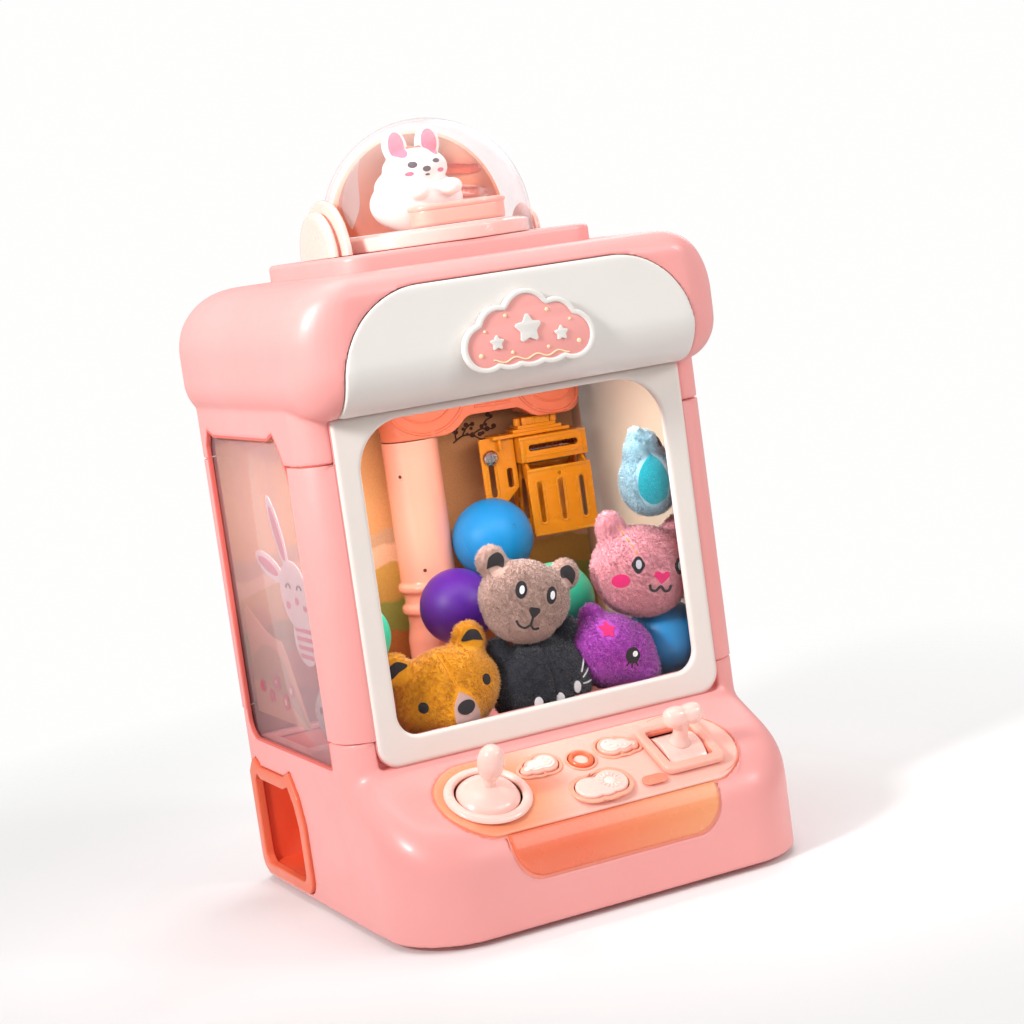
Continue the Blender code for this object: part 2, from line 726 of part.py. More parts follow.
def windows():
    outer = rounded(
        [
            (-FRAME_HALF, FRAME_BOTTOM, 11.0),
            (FRAME_HALF, FRAME_BOTTOM, 11.0),
            (FRAME_HALF, FRAME_TOP, 0.0),
            (-FRAME_HALF, FRAME_TOP, 0.0),
        ],
        4,
    )
    opening = rounded(
        [
            (-OPENING_HALF, OPENING_BOTTOM, 11.0),
            (OPENING_HALF, OPENING_BOTTOM, 11.0),
            (OPENING_HALF, OPENING_TOP, 24.0),
            (-OPENING_HALF, OPENING_TOP, 24.0),
        ],
        5,
    )
    prism("window_frame", [outer, opening], (-4.0, 0.0), "cream", FROM_FRONT)
    box("front_window", (-92, 92), (4.3, 5.8), (FRAME_BOTTOM + 4, FRAME_TOP - 1), "clear")
    pane = HALF_WIDTH - WALL - GAP
    box("side_window_left", (-pane, -pane + 1.5), (19.5, 149.0), (71.0, 244.0), "smoke")
    box("side_window_right", (pane - 1.5, pane), (19.5, 149.0), (71.0, 244.0), "smoke")
    box("scenery_card", (-104.5, 104.5), (144.6, 145.6), (FLOOR_TOP + 0.5, 243.0), "card")
    plan = upright(-104.5, 104.5, 10.0, 154.0, 8.0, 8.0)
    prism("ceiling_plate", [plan], (ARM_TOP + 1.0, ARM_TOP + 3.0), "pale_pink")


def dome():
    arcs = 9
    outer = [
        (DOME_RADIUS * math.sin(math.pi / 2 * k / arcs), DOME_RADIUS * math.cos(math.pi / 2 * k / arcs))
        for k in range(arcs + 1)
    ]
    wall = 1.5
    scale = (DOME_RADIUS - wall) / DOME_RADIUS
    inner = [(radius * scale, height * scale) for radius, height in reversed(outer)]
    skirt = PLINTH_TOP + 0.7 - DOME_CENTRE.z
    profile = outer + [(DOME_RADIUS, skirt), (DOME_RADIUS - wall, skirt)] + inner
    turned("dome_cover", profile, "clear", 36, Matrix.Translation(DOME_CENTRE * MM))
    floor = PLINTH_TOP + 0.3 - DOME_CENTRE.z
    disc = [(0.0, -2.1), (46.0, -2.1), (50.6, -3.2), (50.6, floor), (0.0, floor)]
    turned("dome_base", disc, "pale_pink", 36, Matrix.Translation(DOME_CENTRE * MM))
    for side, name, size in ((-1, "dome_hub_left", 1.0), (1, "dome_hub_right", 0.5)):
        place = Matrix.Translation(Vector((side * (DOME_RADIUS + 0.6), DOME_CENTRE.y, PLINTH_TOP + 0.4)) * MM)
        hub = [
            (0.0, 13.4), (20.0, 13.4), (23.0, 11.6), (23.6, 8.0), (20.0, 7.2), (20.0, 5.4),
            (27.4, 5.0), (28.4, 3.6), (28.4, 0.0), (0.0, 0.0),
        ]
        hub = [(radius * size, height * size * 0.7) for radius, height in hub]
        made = turned(name, hub, "pale_pink", 32, place @ Matrix.Rotation(side * math.pi / 2, 4, "Y"))
        under = box(f"{name}_under", (-90, 90), (20, 120), (270, PLINTH_TOP + 0.4))
        cut(made, under)
    back = ball_shell("dome_backdrop", 48.4, 46.8, "coral")
    keep = box("backdrop_keep", (-60, 60), (DOME_CENTRE.y + 8, 140), (DOME_CENTRE.z - 1.6, 400))
    boolean(back, keep, "INTERSECT")
    rabbit()


def ball_shell(name, outer, inner, finish):
    place = Matrix.Translation(DOME_CENTRE * MM)
    steps = 8
    arc = [(math.sin(math.pi * k / steps / 2), math.cos(math.pi * k / steps / 2)) for k in range(steps + 1)]
    foot = -1.9
    profile = [(r * outer, z * outer) for r, z in arc] + [(outer, foot), (inner, foot)]
    profile += [(r * inner, z * inner) for r, z in reversed(arc)]
    return turned(name, profile, finish, 32, place)


def rabbit():
    """The seated figure, its two upright ears joined to the head, behind a small console."""
    x, y = -2.0, 68.0
    floor = DOME_CENTRE.z - 1.8
    body = ellipsoid("rabbit_figure", (x, y, floor + 13.5), (21.0, 15.5, 14.8), "figure_white")
    head = ellipsoid("rabbit_head", (x, y - 3, floor + 28.5), (14.5, 12.0, 10.5), None)
    ears = [
        ellipsoid(f"rabbit_ear_{side}", (x + side * 7.4, y - 2, floor + 39.5), (4.3, 2.6, 8.0), None, 2)
        for side in (-1, 1)
    ]
    join(body, head, *ears)
    cut(body, box("rabbit_seat", (-60, 60), (20, 120), (280, floor + 0.2)))
    tub = rounded([(-18, 40, 9.0), (24, 40, 9.0), (24, 51, 1.0), (-18, 51, 1.0)], 4)
    prism("rabbit_console", [tub], (floor + 0.2, floor + 15.5), "coral")


def column():
    """The fixed tube: rings and a flared foot at the bottom, and a bore for the shaft."""
    foot = FLOOR_TOP + GAP
    profile = [
        (COLUMN_RADIUS, COLUMN_TOP), (COLUMN_RADIUS, 143.0), (17.2, 141.5), (17.2, 138.5), (14.6, 137.0),
        (14.6, 131.5), (16.6, 130.0), (16.6, 126.5), (14.2, 125.0), (14.2, 118.0), (15.6, 112.0),
        (15.6, foot + 5), (15.6, foot), (6.0, foot), (6.0, COLUMN_TOP),
    ]
    turned("column_tube", profile, "pink_shell", 24, Matrix.Translation(COLUMN * MM))


def crane_empty():
    """The swing axis: everything that turns with the arm hangs from it."""
    axis = bpy.data.objects.new("arm_axis", None)
    CUTTERS.objects.link(axis)
    axis.location = COLUMN * MM
    axis.rotation_euler = (0.0, 0.0, REST_ANGLE)
    return axis


def hang(axis, *objects):
    """Parents to the swing axis what was drawn with the column at the origin and the arm along +X."""
    for obj in objects:
        obj.parent = axis


def arm_parts(axis):
    lobes = rounded(
        [
            (-30, ARM_TOP, 0.0), (-30, 226.0, 0.0), (-13.5, 226.0, 3.0), (-6.0, 219.2, 16.0), (20.0, 219.2, 16.0),
            (30.0, 228.0, 8.0), (58.0, 228.0, 8.0), (68.0, 221.3, 12.0), (90.0, 221.3, 14.0), (110.0, 238.0, 8.0),
            (110, ARM_TOP, 0.0),
        ],
        4,
    )
    arm = prism("crane_arm", [lobes], (-15.8, 15.8), "pink_shell", FROM_FRONT)
    reach = 81.5
    plan = [
        Vector((reach + 15.8 * math.sin(a), -15.8 * math.cos(a)))
        for a in [math.pi * k / 10 for k in range(11)]
    ]
    plan += [
        Vector((-15.8 * math.sin(a), 15.8 * math.cos(a)))
        for a in [math.pi * k / 10 for k in range(11)]
    ]
    keep = prism("arm_plan", [plan], (200, 260))
    collar = cylinder("arm_collar", COLUMN_RADIUS, (COLUMN_TOP + GAP, 235.0), None, 24)
    bore = cylinder("arm_bore", 4.4, (200, 238), None, 16)
    boolean(arm, keep, "INTERSECT")
    join(arm, collar)
    cut(arm, bore)
    shaft = cylinder("swing_shaft", 4.0, (GEAR_Z - 12, 236.5), "steel", 16)
    gear = gear_wheel("swing_gear", GEAR_RADIUS, 24, (GEAR_Z - 3, GEAR_Z + 3), "gear_white", 4.3)
    hang(axis, arm, keep, collar, bore, shaft, gear)
    return arm


def gear_wheel(name, radius, teeth, depth, finish, bore, phase=0.0, centre=(0.0, 0.0)):
    """A spur gear whose teeth reach 0.7 mm outside the pitch radius and 1.3 mm inside it."""
    points = []
    for k in range(teeth * 4):
        turn = 2 * math.pi * (k / (teeth * 4)) + phase
        reach = radius + (0.7 if k % 4 in (0, 1) else -1.3)
        points.append(Vector((centre[0] + reach * math.cos(turn), centre[1] + reach * math.sin(turn))))
    return prism(name, [points, circle(*centre, bore, 16)], depth, finish)


def motor():
    """The swing motor under the gear train, its can standing on the base plate."""
    centre = (COLUMN.x + GEAR_RADIUS + PINION_RADIUS + 1.0, COLUMN.y)
    can = cylinder("swing_motor", 11.0, (5.2, 33.0), "steel", 24, centre)
    join(can, cylinder("motor_shaft", 1.5, (30.0, 45.0), None, 12, centre))
    gear_wheel(
        "motor_pinion", PINION_RADIUS, 8, (GEAR_Z - 3.5, GEAR_Z + 3.5), "gear_white", 1.8,
        math.radians(35.25), centre,
    )


def claw_hanger(axis):
    """The fixed bracket under the arm's end, with the slotted guide plate that steers the claw."""
    flange = box("claw_hanger", (44, 88), (-8, 8), (211.4, 213.4), "claw_orange")
    block = box("hanger_block", (61, 79), (-6, 6), (212.4, 221.0))
    plate = prism(
        "hanger_plate",
        [
            rounded([(37.3, 176.6, 1.0), (49.0, 176.6, 1.0), (56.8, 184.0, 1.5), (56.8, 212.6, 0.0), (37.3, 212.6, 1.0)], 2),
            rectangle(SCREW_S - 1.6, SCREW_S + 1.6, SCREW_Z - LIFT - 1.6, SCREW_Z + 1.6, 1.5, 2),
            rectangle(51.0, 54.2, 184.5, 195.0, 1.4, 2),
        ],
        (1.0, 3.0),
        None,
        FROM_FRONT,
    )
    join(flange, block, plate)
    hang(axis, flange, block, plate)


def claw_carriage(axis):
    """The frame that rides up and down on the guide plate and carries both jaws."""
    outer_s = (57.3, 95.7)
    frame = box("claw_carriage", outer_s, (-11, 11), (197.0, 210.9), "claw_orange")
    inside = box("carriage_inside", (59.3, 93.7), (-9.4, 9.4), (190, 208.6))
    slot = box("carriage_slot", (62.5, 90.5), (-20, -5), (202.8, 206.2))
    slot_rear = box("carriage_slot_rear", (62.5, 90.5), (5, 20), (202.8, 206.2))
    tab = box("carriage_tab", (38.6, 58.0), (-0.6, 1.4), (198.2, 208.0))
    shank = cylinder("screw_bore", 1.5, (-4, 4), None, 12)
    shank.matrix_world = Matrix.Translation(Vector((SCREW_S, 0, SCREW_Z)) * MM) @ FROM_FRONT
    join(frame, tab)
    cut(frame, inside, slot, slot_rear, shank)
    pins = []
    for side, name in ((-1, "jaw_pin_front"), (1, "jaw_pin_rear")):
        along = Matrix.Translation(Vector((CLAW_S, side * PIVOT_T, PIVOT_Z)) * MM) @ Matrix.Rotation(math.pi / 2, 4, "Y")
        bore = cylinder(f"{name}_bore", 1.5, (-30, 30), None, 12)
        bore.matrix_world = along
        cut(frame, bore)
        pin = cylinder(name, 1.2, (-19.0, 19.0), "steel", 12)
        pin.matrix_world = along
        pins += [bore, pin]
    head = turned(
        "guide_screw",
        [(0.0, 5.8), (2.6, 5.6), (4.2, 4.6), (4.4, 3.3), (1.2, 3.3), (1.2, -1.0), (0.0, -1.0)],
        "steel",
        16,
        Matrix.Translation(Vector((SCREW_S, 0, SCREW_Z)) * MM) @ FROM_FRONT,
    )
    hang(axis, frame, inside, slot, slot_rear, tab, shank, head, *pins)


def claw_jaw(axis, name, side):
    """One half of the grab: a slotted face with two tapering cheeks that hang on the pivot pin."""
    cheek = [
        (-14.3, 157.6), (-12.9, 157.6), (-2.2, 196.5), (-0.9, 202.0), (-2.2, 206.0), (-6.0, 206.6),
        (-8.8, 204.5), (-8.8, 196.4), (-14.3, 193.0),
    ]
    cheek = [Vector((side * -t, z)) for t, z in cheek]
    if side > 0:
        cheek.reverse()
    s0, s1 = CLAW_S - JAW_HALF, CLAW_S + JAW_HALF
    depths = ((s0 + 1.4, s0 + 2.9), (s1 - 2.9, s1 - 1.4))
    face_t = sorted((side * 15.0, side * 13.5))
    face = box(name, (s0, s1), face_t, (157.0, 193.6), "claw_orange")
    cheeks = [prism(f"{name}_cheek{i}", [cheek], depth, None, FROM_RIGHT) for i, depth in enumerate(depths)]
    slots = []
    for k in (-1, 0, 1):
        middle = CLAW_S + k * 12.0
        outline = rectangle(middle - 1.3, middle + 1.3, 164.0, 186.0, 1.2, 2)
        slots.append(prism(f"{name}_slot{k}", [outline], (-20, 20), None, FROM_FRONT))
    bore = cylinder(f"{name}_bore", 1.5, (-30, 30), None, 12)
    along = Matrix.Translation(Vector((CLAW_S, side * PIVOT_T, PIVOT_Z)) * MM)
    bore.matrix_world = along @ Matrix.Rotation(math.pi / 2, 4, "Y")
    join(face, *cheeks)
    cut(face, *slots, bore)
    hang(axis, face, bore, *cheeks, *slots)


def electronics():
    board = box("main_board", (20, 80), (40, 100), (9.0, 10.6), "board_green")
    socket = box("socket_body", (60, 70), (85, BACK_Y - 1.0), (10.0, 18.0))
    return join(board, socket)


def prizes():
    """Hollow balls and plush heads, heaped where the claw's sweep leaves them room."""
    ellipsoid("ball_blue", (29.0, 110.0, 155.0), (20.4, 20.4, 20.4), "ball_blue")
    ellipsoid("ball_purple", (-8.5, 90.0, 131.5), (18.5, 18.5, 18.5), "ball_purple")
    ellipsoid("ball_teal", (-85.0, 34.0, 137.0), (18.5, 18.5, 18.5), "ball_teal")
    ellipsoid("ball_blue_low", (85.0, 32.0, 102.0), (18.8, 18.8, 18.8), "ball_blue")
    ellipsoid("ball_teal_low", (40.0, 64.0, 116.0), (20.4, 20.4, 20.4), "ball_teal")
    ellipsoid("plush_bear_grey", (0.5, 18.0, 141.0), (27.0, 11.5, 24.0), "plush_grey")
    ellipsoid("plush_bear_orange", (-49.0, 20.0, 105.0), (30.0, 13.5, 27.0), "plush_orange")
    ellipsoid("plush_cat_black", (5.5, 22.5, 97.0), (23.5, 12.5, 18.8), "plush_black")
    ellipsoid("plush_cat_pink", (68.5, 22.0, 146.0), (26.5, 14.5, 23.5), "plush_pink")
    ellipsoid("plush_purple", (48.5, 20.0, 101.5), (19.5, 13.0, 21.0), "plush_purple")
    ellipsoid("plush_blue", (81.0, 22.0, 191.0), (16.0, 13.0, 22.0), "plush_blue")
    ellipsoid("plush_white", (-82.0, 58.0, 98.5), (19.0, 18.0, 20.5), "plush_white")


base_shell()
base_plate()
control_panel()
buttons()
joystick()
lever()
outlet_and_chute()
cabin_floor()
front_pillar("front_pillar_left", -1)
front_pillar("front_pillar_right", 1)
rear_housing()
head_shell()
marquee()
windows()
dome()
column()
swing_axis = crane_empty()
arm_parts(swing_axis)
motor()
claw_hanger(swing_axis)
claw_carriage(swing_axis)
claw_jaw(swing_axis, "claw_jaw_front", -1)
claw_jaw(swing_axis, "claw_jaw_rear", 1)
electronics()
prizes()


def move_onto_origin():
    for obj in bpy.data.objects:
        if obj.parent is None:
            obj.location.y -= MIDDLE_Y * MM
            obj.location.z += PAD_DEPTH * MM


move_onto_origin()
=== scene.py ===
"""The looks of the toy claw crane machine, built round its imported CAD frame."""

import json
import math
import random

import bmesh
import bpy
import numpy as np
from mathutils import Matrix, Vector
from mathutils.bvhtree import BVHTree

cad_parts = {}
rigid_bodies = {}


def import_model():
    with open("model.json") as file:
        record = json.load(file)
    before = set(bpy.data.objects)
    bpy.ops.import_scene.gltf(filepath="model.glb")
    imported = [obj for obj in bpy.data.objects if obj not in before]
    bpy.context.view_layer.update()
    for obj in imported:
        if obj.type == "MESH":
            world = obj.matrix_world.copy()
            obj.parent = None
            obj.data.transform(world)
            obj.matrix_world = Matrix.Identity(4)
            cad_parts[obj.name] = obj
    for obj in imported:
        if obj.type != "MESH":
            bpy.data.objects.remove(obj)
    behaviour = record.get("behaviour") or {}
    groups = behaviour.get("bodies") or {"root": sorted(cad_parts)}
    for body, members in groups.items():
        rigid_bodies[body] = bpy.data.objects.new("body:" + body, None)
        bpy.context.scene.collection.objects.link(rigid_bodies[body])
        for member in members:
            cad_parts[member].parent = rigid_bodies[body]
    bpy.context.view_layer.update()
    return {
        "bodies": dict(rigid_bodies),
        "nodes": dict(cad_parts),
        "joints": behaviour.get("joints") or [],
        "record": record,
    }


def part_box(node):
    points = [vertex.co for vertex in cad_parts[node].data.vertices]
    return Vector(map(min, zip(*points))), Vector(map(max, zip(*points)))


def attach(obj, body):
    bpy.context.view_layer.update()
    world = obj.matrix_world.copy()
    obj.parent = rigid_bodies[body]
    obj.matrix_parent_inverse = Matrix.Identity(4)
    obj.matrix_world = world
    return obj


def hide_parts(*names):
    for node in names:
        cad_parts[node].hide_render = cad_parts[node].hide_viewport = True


for thing in list(bpy.data.objects):
    bpy.data.objects.remove(thing, do_unlink=True)

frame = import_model()


def moving(x, y, z):
    return Matrix.Translation((x, y, z))


def turning(degrees, axis):
    return Matrix.Rotation(math.radians(degrees), 4, axis)


# Pieces are drawn in millimetres with y 0 at the window frame's face and z 77 at its foot.
FRAME_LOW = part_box("window_frame")[0]
FRAME_FOOT = 77.0
HOME = moving(0.0, FRAME_LOW.y, FRAME_LOW.z - FRAME_FOOT / 1000) @ Matrix.Scale(0.001, 4)
FROM_FRONT = turning(90, "X")
FROM_RIGHT = turning(90, "Z") @ FROM_FRONT
FROM_LEFT = turning(-90, "Z") @ FROM_FRONT

# The casing.
CASE_HALF = 110.0
CASE_FRONT = 1.5
CASE_BACK = 158.0
WALL = 3.2
SIDE_FOOT = 91.9
SIDE_HEAD = 225.4
OPENING_HALF = 87.0
POCKET_HALF = 94.6
POCKET_DEPTH = 6.1
HEAD_HALF = 115.0
HEAD_FRONT = -25.5
HEAD_BACK = 160.0
HEAD_UNDER = 246.2
HEAD_TOP = 312.0
SIDE_FILLETS = ((266.0, 20.0), (280.0, 32.0))
FRONT_FILLETS = ((271.0, 25.0), (300.0, 12.0))
BACK_FILLETS = ((256.0, 12.0), (287.0, 25.0))
PLINTH_TOP = 320.3

# The sloping deck and its row of controls.
DECK_FRONT = -55.0
SLOPE = math.radians(26.6)
CREASE_Z = 74.7
ROW = Vector((0.0, -29.3, CREASE_Z - 29.3 * math.tan(SLOPE)))
CONTROL_X = 54.5
LEVER_X = 50.0
PANEL_FRAME = turning(50, "X")

# The crane, at its rest angle, and the dome.
COLUMN = Vector((-3.0, 127.0, 0.0))
ARM_FRAME = Matrix.Translation(COLUMN) @ turning(-8, "Z")
ARM_HALF = 15.8
ARM_REACH = 81.5
DOME = Vector((0.0, 70.0, 330.7))
DOME_RADIUS = 53.0


def cad(node):
    """(lowest, highest) corner of a CAD node in the drawing's millimetres."""
    back = HOME.inverted()
    low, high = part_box(node)
    return back @ low, back @ high


# ------------------------------------------------------------------ materials


def srgb(text, by=1.0):
    """#rrggbb as linear colour, made lighter or darker by a factor."""
    parts = [int(text[i:i + 2], 16) / 255 for i in (1, 3, 5)]
    linear = [c / 12.92 if c <= 0.04045 else ((c + 0.055) / 1.055) ** 2.4 for c in parts]
    return tuple(min(1.0, c * by) for c in linear)


class Look:
    """The node tree of a material or of the world, with short ways to wire it."""

    def __init__(self, owner, shader="Principled BSDF"):
        owner.use_nodes = True
        self.owner = owner
        self.nodes = owner.node_tree.nodes
        self.links = owner.node_tree.links
        self.shader = self.nodes[shader]

    def join(self, socket, value):
        """Fills an input with a value or with another node's output."""
        if hasattr(value, "is_output"):
            self.links.new(value, socket)
        else:
            socket.default_value = value

    def set(self, **inputs):
        """Fills the shader's inputs; an underscore stands for a space in an input's name."""
        for name, value in inputs.items():
            self.join(self.shader.inputs[name.replace("_", " ")], value)

    def node(self, kind, *inputs, **settings):
        made = self.nodes.new("ShaderNode" + kind)
        for name, value in settings.items():
            setattr(made, name, value)
        for socket, value in zip(made.inputs, inputs):
            self.join(socket, value)
        return made

    def place(self):
        return self.node("TexCoord").outputs["Object"]

    def along(self, axis):
        """The place along one of the machine's axes, in metres."""
        return self.node("SeparateXYZ", self.place()).outputs[axis]

    def noise(self, scale, detail=3.0, rough=0.55):
        made = self.node("TexNoise", self.place())
        for name, value in (("Scale", scale), ("Detail", detail), ("Roughness", rough)):
            made.inputs[name].default_value = value
        return made.outputs[0]

    def mapped(self, value, low, high, to_low, to_high):
        return self.node("MapRange", value, low, high, to_low, to_high).outputs[0]

    def mixed(self, factor, first, second):
        made = self.node("Mix", factor, data_type="RGBA")
        for socket, value in ((made.inputs[6], first), (made.inputs[7], second)):
            self.join(socket, (*value, 1.0) if isinstance(value, tuple) else value)
        return made.outputs[2]

    def bump(self, height, strength, distance):
        made = self.node("Bump")
        for name, value in (("Strength", strength), ("Distance", distance), ("Height", height)):
            self.join(made.inputs[name], value)
        self.set(Normal=made.outputs["Normal"])

    def lay(self, factor, colour):
        """Lays a second colour over the shader's own where the factor says so."""
        before = self.shader.inputs["Base Color"].links[0].from_socket
        self.set(Base_Color=self.mixed(factor, before, srgb(colour)))
        return self.owner


def new_look(name):
    return Look(bpy.data.materials.new(name))


def plastic(name, colour, rough=0.34, second=None, coat=0.0, grain=0.12, glow=0.0):
    """Moulded plastic: a fine moulding grain, faint flow marks in the colour and uneven gloss."""
    look = new_look(name)
    other = srgb(second) if second else srgb(colour, 0.9)
    look.set(
        Base_Color=look.mixed(look.mapped(look.noise(14.0, 2.0), 0.35, 0.7, 0.0, 0.5), srgb(colour), other),
        Roughness=look.mapped(look.noise(60.0, 4.0), 0.3, 0.7, rough - 0.05, rough + 0.06),
        Coat_Weight=coat,
        Coat_Roughness=0.12,
    )
    look.bump(look.noise(2600.0, 2.0), grain, 0.00008)
    if glow:
        look.set(Subsurface_Weight=glow, Subsurface_Radius=(1.0, 0.6, 0.5), Subsurface_Scale=0.004)
    return look.owner


def clear(name, tint, low, high, rough=0.05, falloff=2.5):
    """Clear moulding whose tint thickens towards its rim, where it's seen edge on: partly the moulding's own
    tint seen through at a slant, partly painted reflection.
    """
    look = new_look(name)
    facing = look.node("LayerWeight", 0.35).outputs["Facing"]
    rim_tint_and_sheen = look.node("Math", facing, falloff, operation="POWER").outputs[0]
    look.set(
        Base_Color=(*srgb(tint), 1.0),
        Roughness=look.mapped(look.noise(35.0, 3.0), 0.3, 0.7, rough, rough + 0.06),
        Alpha=look.mapped(rim_tint_and_sheen, 0.0, 1.0, low, high),
        Specular_IOR_Level=0.8,
    )
    return look.owner


def metal(name, colour, rough):
    """Bright metal with a fine, even brushing."""
    look = new_look(name)
    brushed = look.noise(900.0, 4.0)
    look.set(
        Base_Color=look.mixed(brushed, srgb(colour), srgb(colour, 0.8)),
        Roughness=look.mapped(brushed, 0.3, 0.7, rough - 0.08, rough + 0.1),
        Metallic=1.0,
    )
    return look.owner


def pile(name, colour, second):
    """Short plush pile: colour that shifts with the lie of the fibres, a soft sheen and a nap."""
    look = new_look(name)
    lie = look.mapped(look.noise(420.0, 4.0, 0.65), 0.36, 0.64, 0.0, 1.0)
    base = look.mixed(lie, srgb(colour), srgb(second))
    fibre = look.noise(2400.0, 3.0, 0.7)
    look.set(
        Base_Color=look.mixed(look.mapped(fibre, 0.42, 0.72, 0.0, 0.5), base, srgb(second, 0.62)),
        Roughness=0.92,
        Sheen_Weight=0.55,
        Sheen_Roughness=0.45,
        Specular_IOR_Level=0.15,
    )
    look.bump(fibre, 0.6, 0.0005)
    return look.owner


def glitter(name, colour, second, fleck):
    """Plush pile with bright tinsel flecks through it."""
    look = Look(pile(name, colour, second))
    spot = look.mapped(look.noise(3200.0, 1.0), 0.66, 0.70, 0.0, 1.0)
    look.set(Metallic=look.mapped(spot, 0.0, 1.0, 0.0, 0.8))
    return look.lay(spot, fleck)


def felt(name, colour):
    """Flat sewn felt or dense embroidery."""
    look = new_look(name)
    fibre = look.noise(1800.0, 4.0, 0.7)
    look.set(
        Base_Color=look.mixed(fibre, srgb(colour, 0.8), srgb(colour, 1.15)), Roughness=0.85, Sheen_Weight=0.2
    )
    look.bump(fibre, 0.5, 0.0003)
    return look.owner


def faded(made, colour, axis, low, high, start, end):
    """Lays a second colour over a plastic, its share running from start to end along an axis."""
    look = Look(made)
    return look.lay(look.mapped(look.along(axis), low, high, start, end), colour)


def ringed(made, colour, centre, near, far):
    """Lays a second colour over a plastic round a point, fading out between two distances."""
    look = Look(made)
    away = look.node("VectorMath", look.place(), HOME @ centre, operation="DISTANCE").outputs["Value"]
    return look.lay(look.mapped(away, near / 1000, far / 1000, 1.0, 0.0), colour)


def printed_card():
    """The back wall's printed scene: a golden evening, pale hills, green bushes and brown ground."""
    look = new_look("printed_card")
    sky = look.mapped(look.along(0), -0.08, 0.06, 0.0, 1.0)
    colour = look.mixed(sky, srgb("#dda05c"), srgb("#c0845a"))
    waves = look.node("Math", look.noise(22.0, 3.0), 0.030, look.along(2), operation="MULTIPLY_ADD")
    for edge, soft, tint in (
        (0.185, 0.001, "#c49a74"),
        (0.176, 0.001, "#e6b48c"),
        (0.166, 0.0008, "#c89c48"),
        (0.150, 0.0008, "#8f9a42"),
        (0.134, 0.0008, "#bc7e34"),
        (0.118, 0.001, "#8e5828"),
    ):
        below = look.mapped(waves.outputs[0], edge - soft, edge + soft, 1.0, 0.0)
        colour = look.mixed(below, colour, srgb(tint))
    dots = look.mapped(look.noise(1500.0, 2.0), 0.4, 0.6, 0.0, 0.12)
    look.set(Base_Color=look.mixed(dots, colour, srgb("#5a3a1c")), Roughness=0.55)
    return look.owner


PINK = plastic("pink_plastic", "#f0a29e", 0.38, "#ee9994", coat=0.1, glow=0.15)
PINK_LIGHT = plastic("pale_pink_plastic", "#fccfc4", 0.26, "#fac1b4", coat=0.35, glow=0.15)
PEACH = plastic("peach_plastic", "#fab5a3", 0.30, "#f8a995", coat=0.25, glow=0.15)
RIM = plastic("rim_plastic", "#f9a98f", 0.28, "#f79f84", coat=0.3, glow=0.1)
# painted shade: a darker red for the reveals round the side windows, where the recess is in shade
REVEAL_SHADE = plastic("reveal_shade_plastic", "#dd6a60", 0.4, "#d25c52")
BEAD = plastic("bead_plastic", "#f58e74", 0.30, "#f3846a", coat=0.25, glow=0.1)
CORAL = plastic("coral_plastic", "#f4774f", 0.30, "#f06d44", coat=0.35, glow=0.1)
OUTLET_CORAL = plastic("outlet_coral_plastic", "#ec7352", 0.34, "#e66542", coat=0.15)
CHUTE_RED = plastic("chute_plastic", "#dc4c2c", 0.42, "#cc3f22")
CREAM = plastic("cream_plastic", "#e4dfda", 0.36, "#ded8d2", glow=0.05)
BEZEL = plastic("bezel_plastic", "#e4dbd4", 0.34, "#ded4cc", coat=0.15, glow=0.05)
PEARL = plastic("pearl_plastic", "#fbe0d6", 0.18, "#f9d3c7", coat=0.8)
COLUMN_PINK = plastic("column_plastic", "#f0a48b", 0.20, "#ec987d", coat=0.6)
ARM_CORAL = plastic("arm_plastic", "#d97453", 0.24, "#cf6744", coat=0.5)
AMBER = plastic("amber_plastic", "#de8a16", 0.26, "#d07a10", coat=0.4, glow=0.2)
STEEL = metal("bright_steel", "#d9dadd", 0.22)
# painted shade: a near black for the shaded inside of the column's holes
HOLE_SHADE = plastic("painted_hole_shade", "#4a2620", 0.6)
GREEN_BOARD = plastic("solder_mask", "#1e5a33", 0.4, "#184a2a")
NYLON = plastic("natural_nylon", "#ece9e0", 0.45, "#e2dfd4")
WHITE = plastic("white_paint", "#fdf6f2", 0.42, "#f8eeea", glow=0.1)
INK = plastic("dark_print", "#4b3c48", 0.5)
ROSE = plastic("rose_print", "#ec6f8c", 0.45, "#e3607f")
BEIGE = plastic("beige_print", "#e8d9b8", 0.5, "#e0cda8")
TWIG = plastic("twig_print", "#4a2c22", 0.7)
PRINT_WHITE = plastic("printed_white", "#fff4f0", 0.6)
FLOWER = plastic("printed_flower", "#dd3f5c", 0.6)
SAND = plastic("printed_sand", "#e0a070", 0.6)
MEADOW = plastic("printed_meadow", "#b9925c", 0.6)
ROSE_FIELD = plastic("badge_pink", "#f0a39c", 0.4, "#ec968f")
BADGE_LIGHT = plastic("badge_peach", "#fbd9b0", 0.4)
# painted reflection: the near-white rims of the front and dome glass stand for light reflected off them
GLASS = clear("front_glass", "#f4f4f6", 0.0, 0.20, 0.05, 4.0)
SMOKE = clear("side_glass", "#d3b0b6", 0.36, 0.50, 0.12)
HAZE = clear("right_glass", "#fdeccb", 0.62, 0.72, 0.12)
DOME_GLASS = clear("dome_glass", "#fbeef2", 0.05, 0.70)
STRIP = plastic("strip_plastic", "#ee7450", 0.28, "#eb6a46", coat=0.35, glow=0.1)
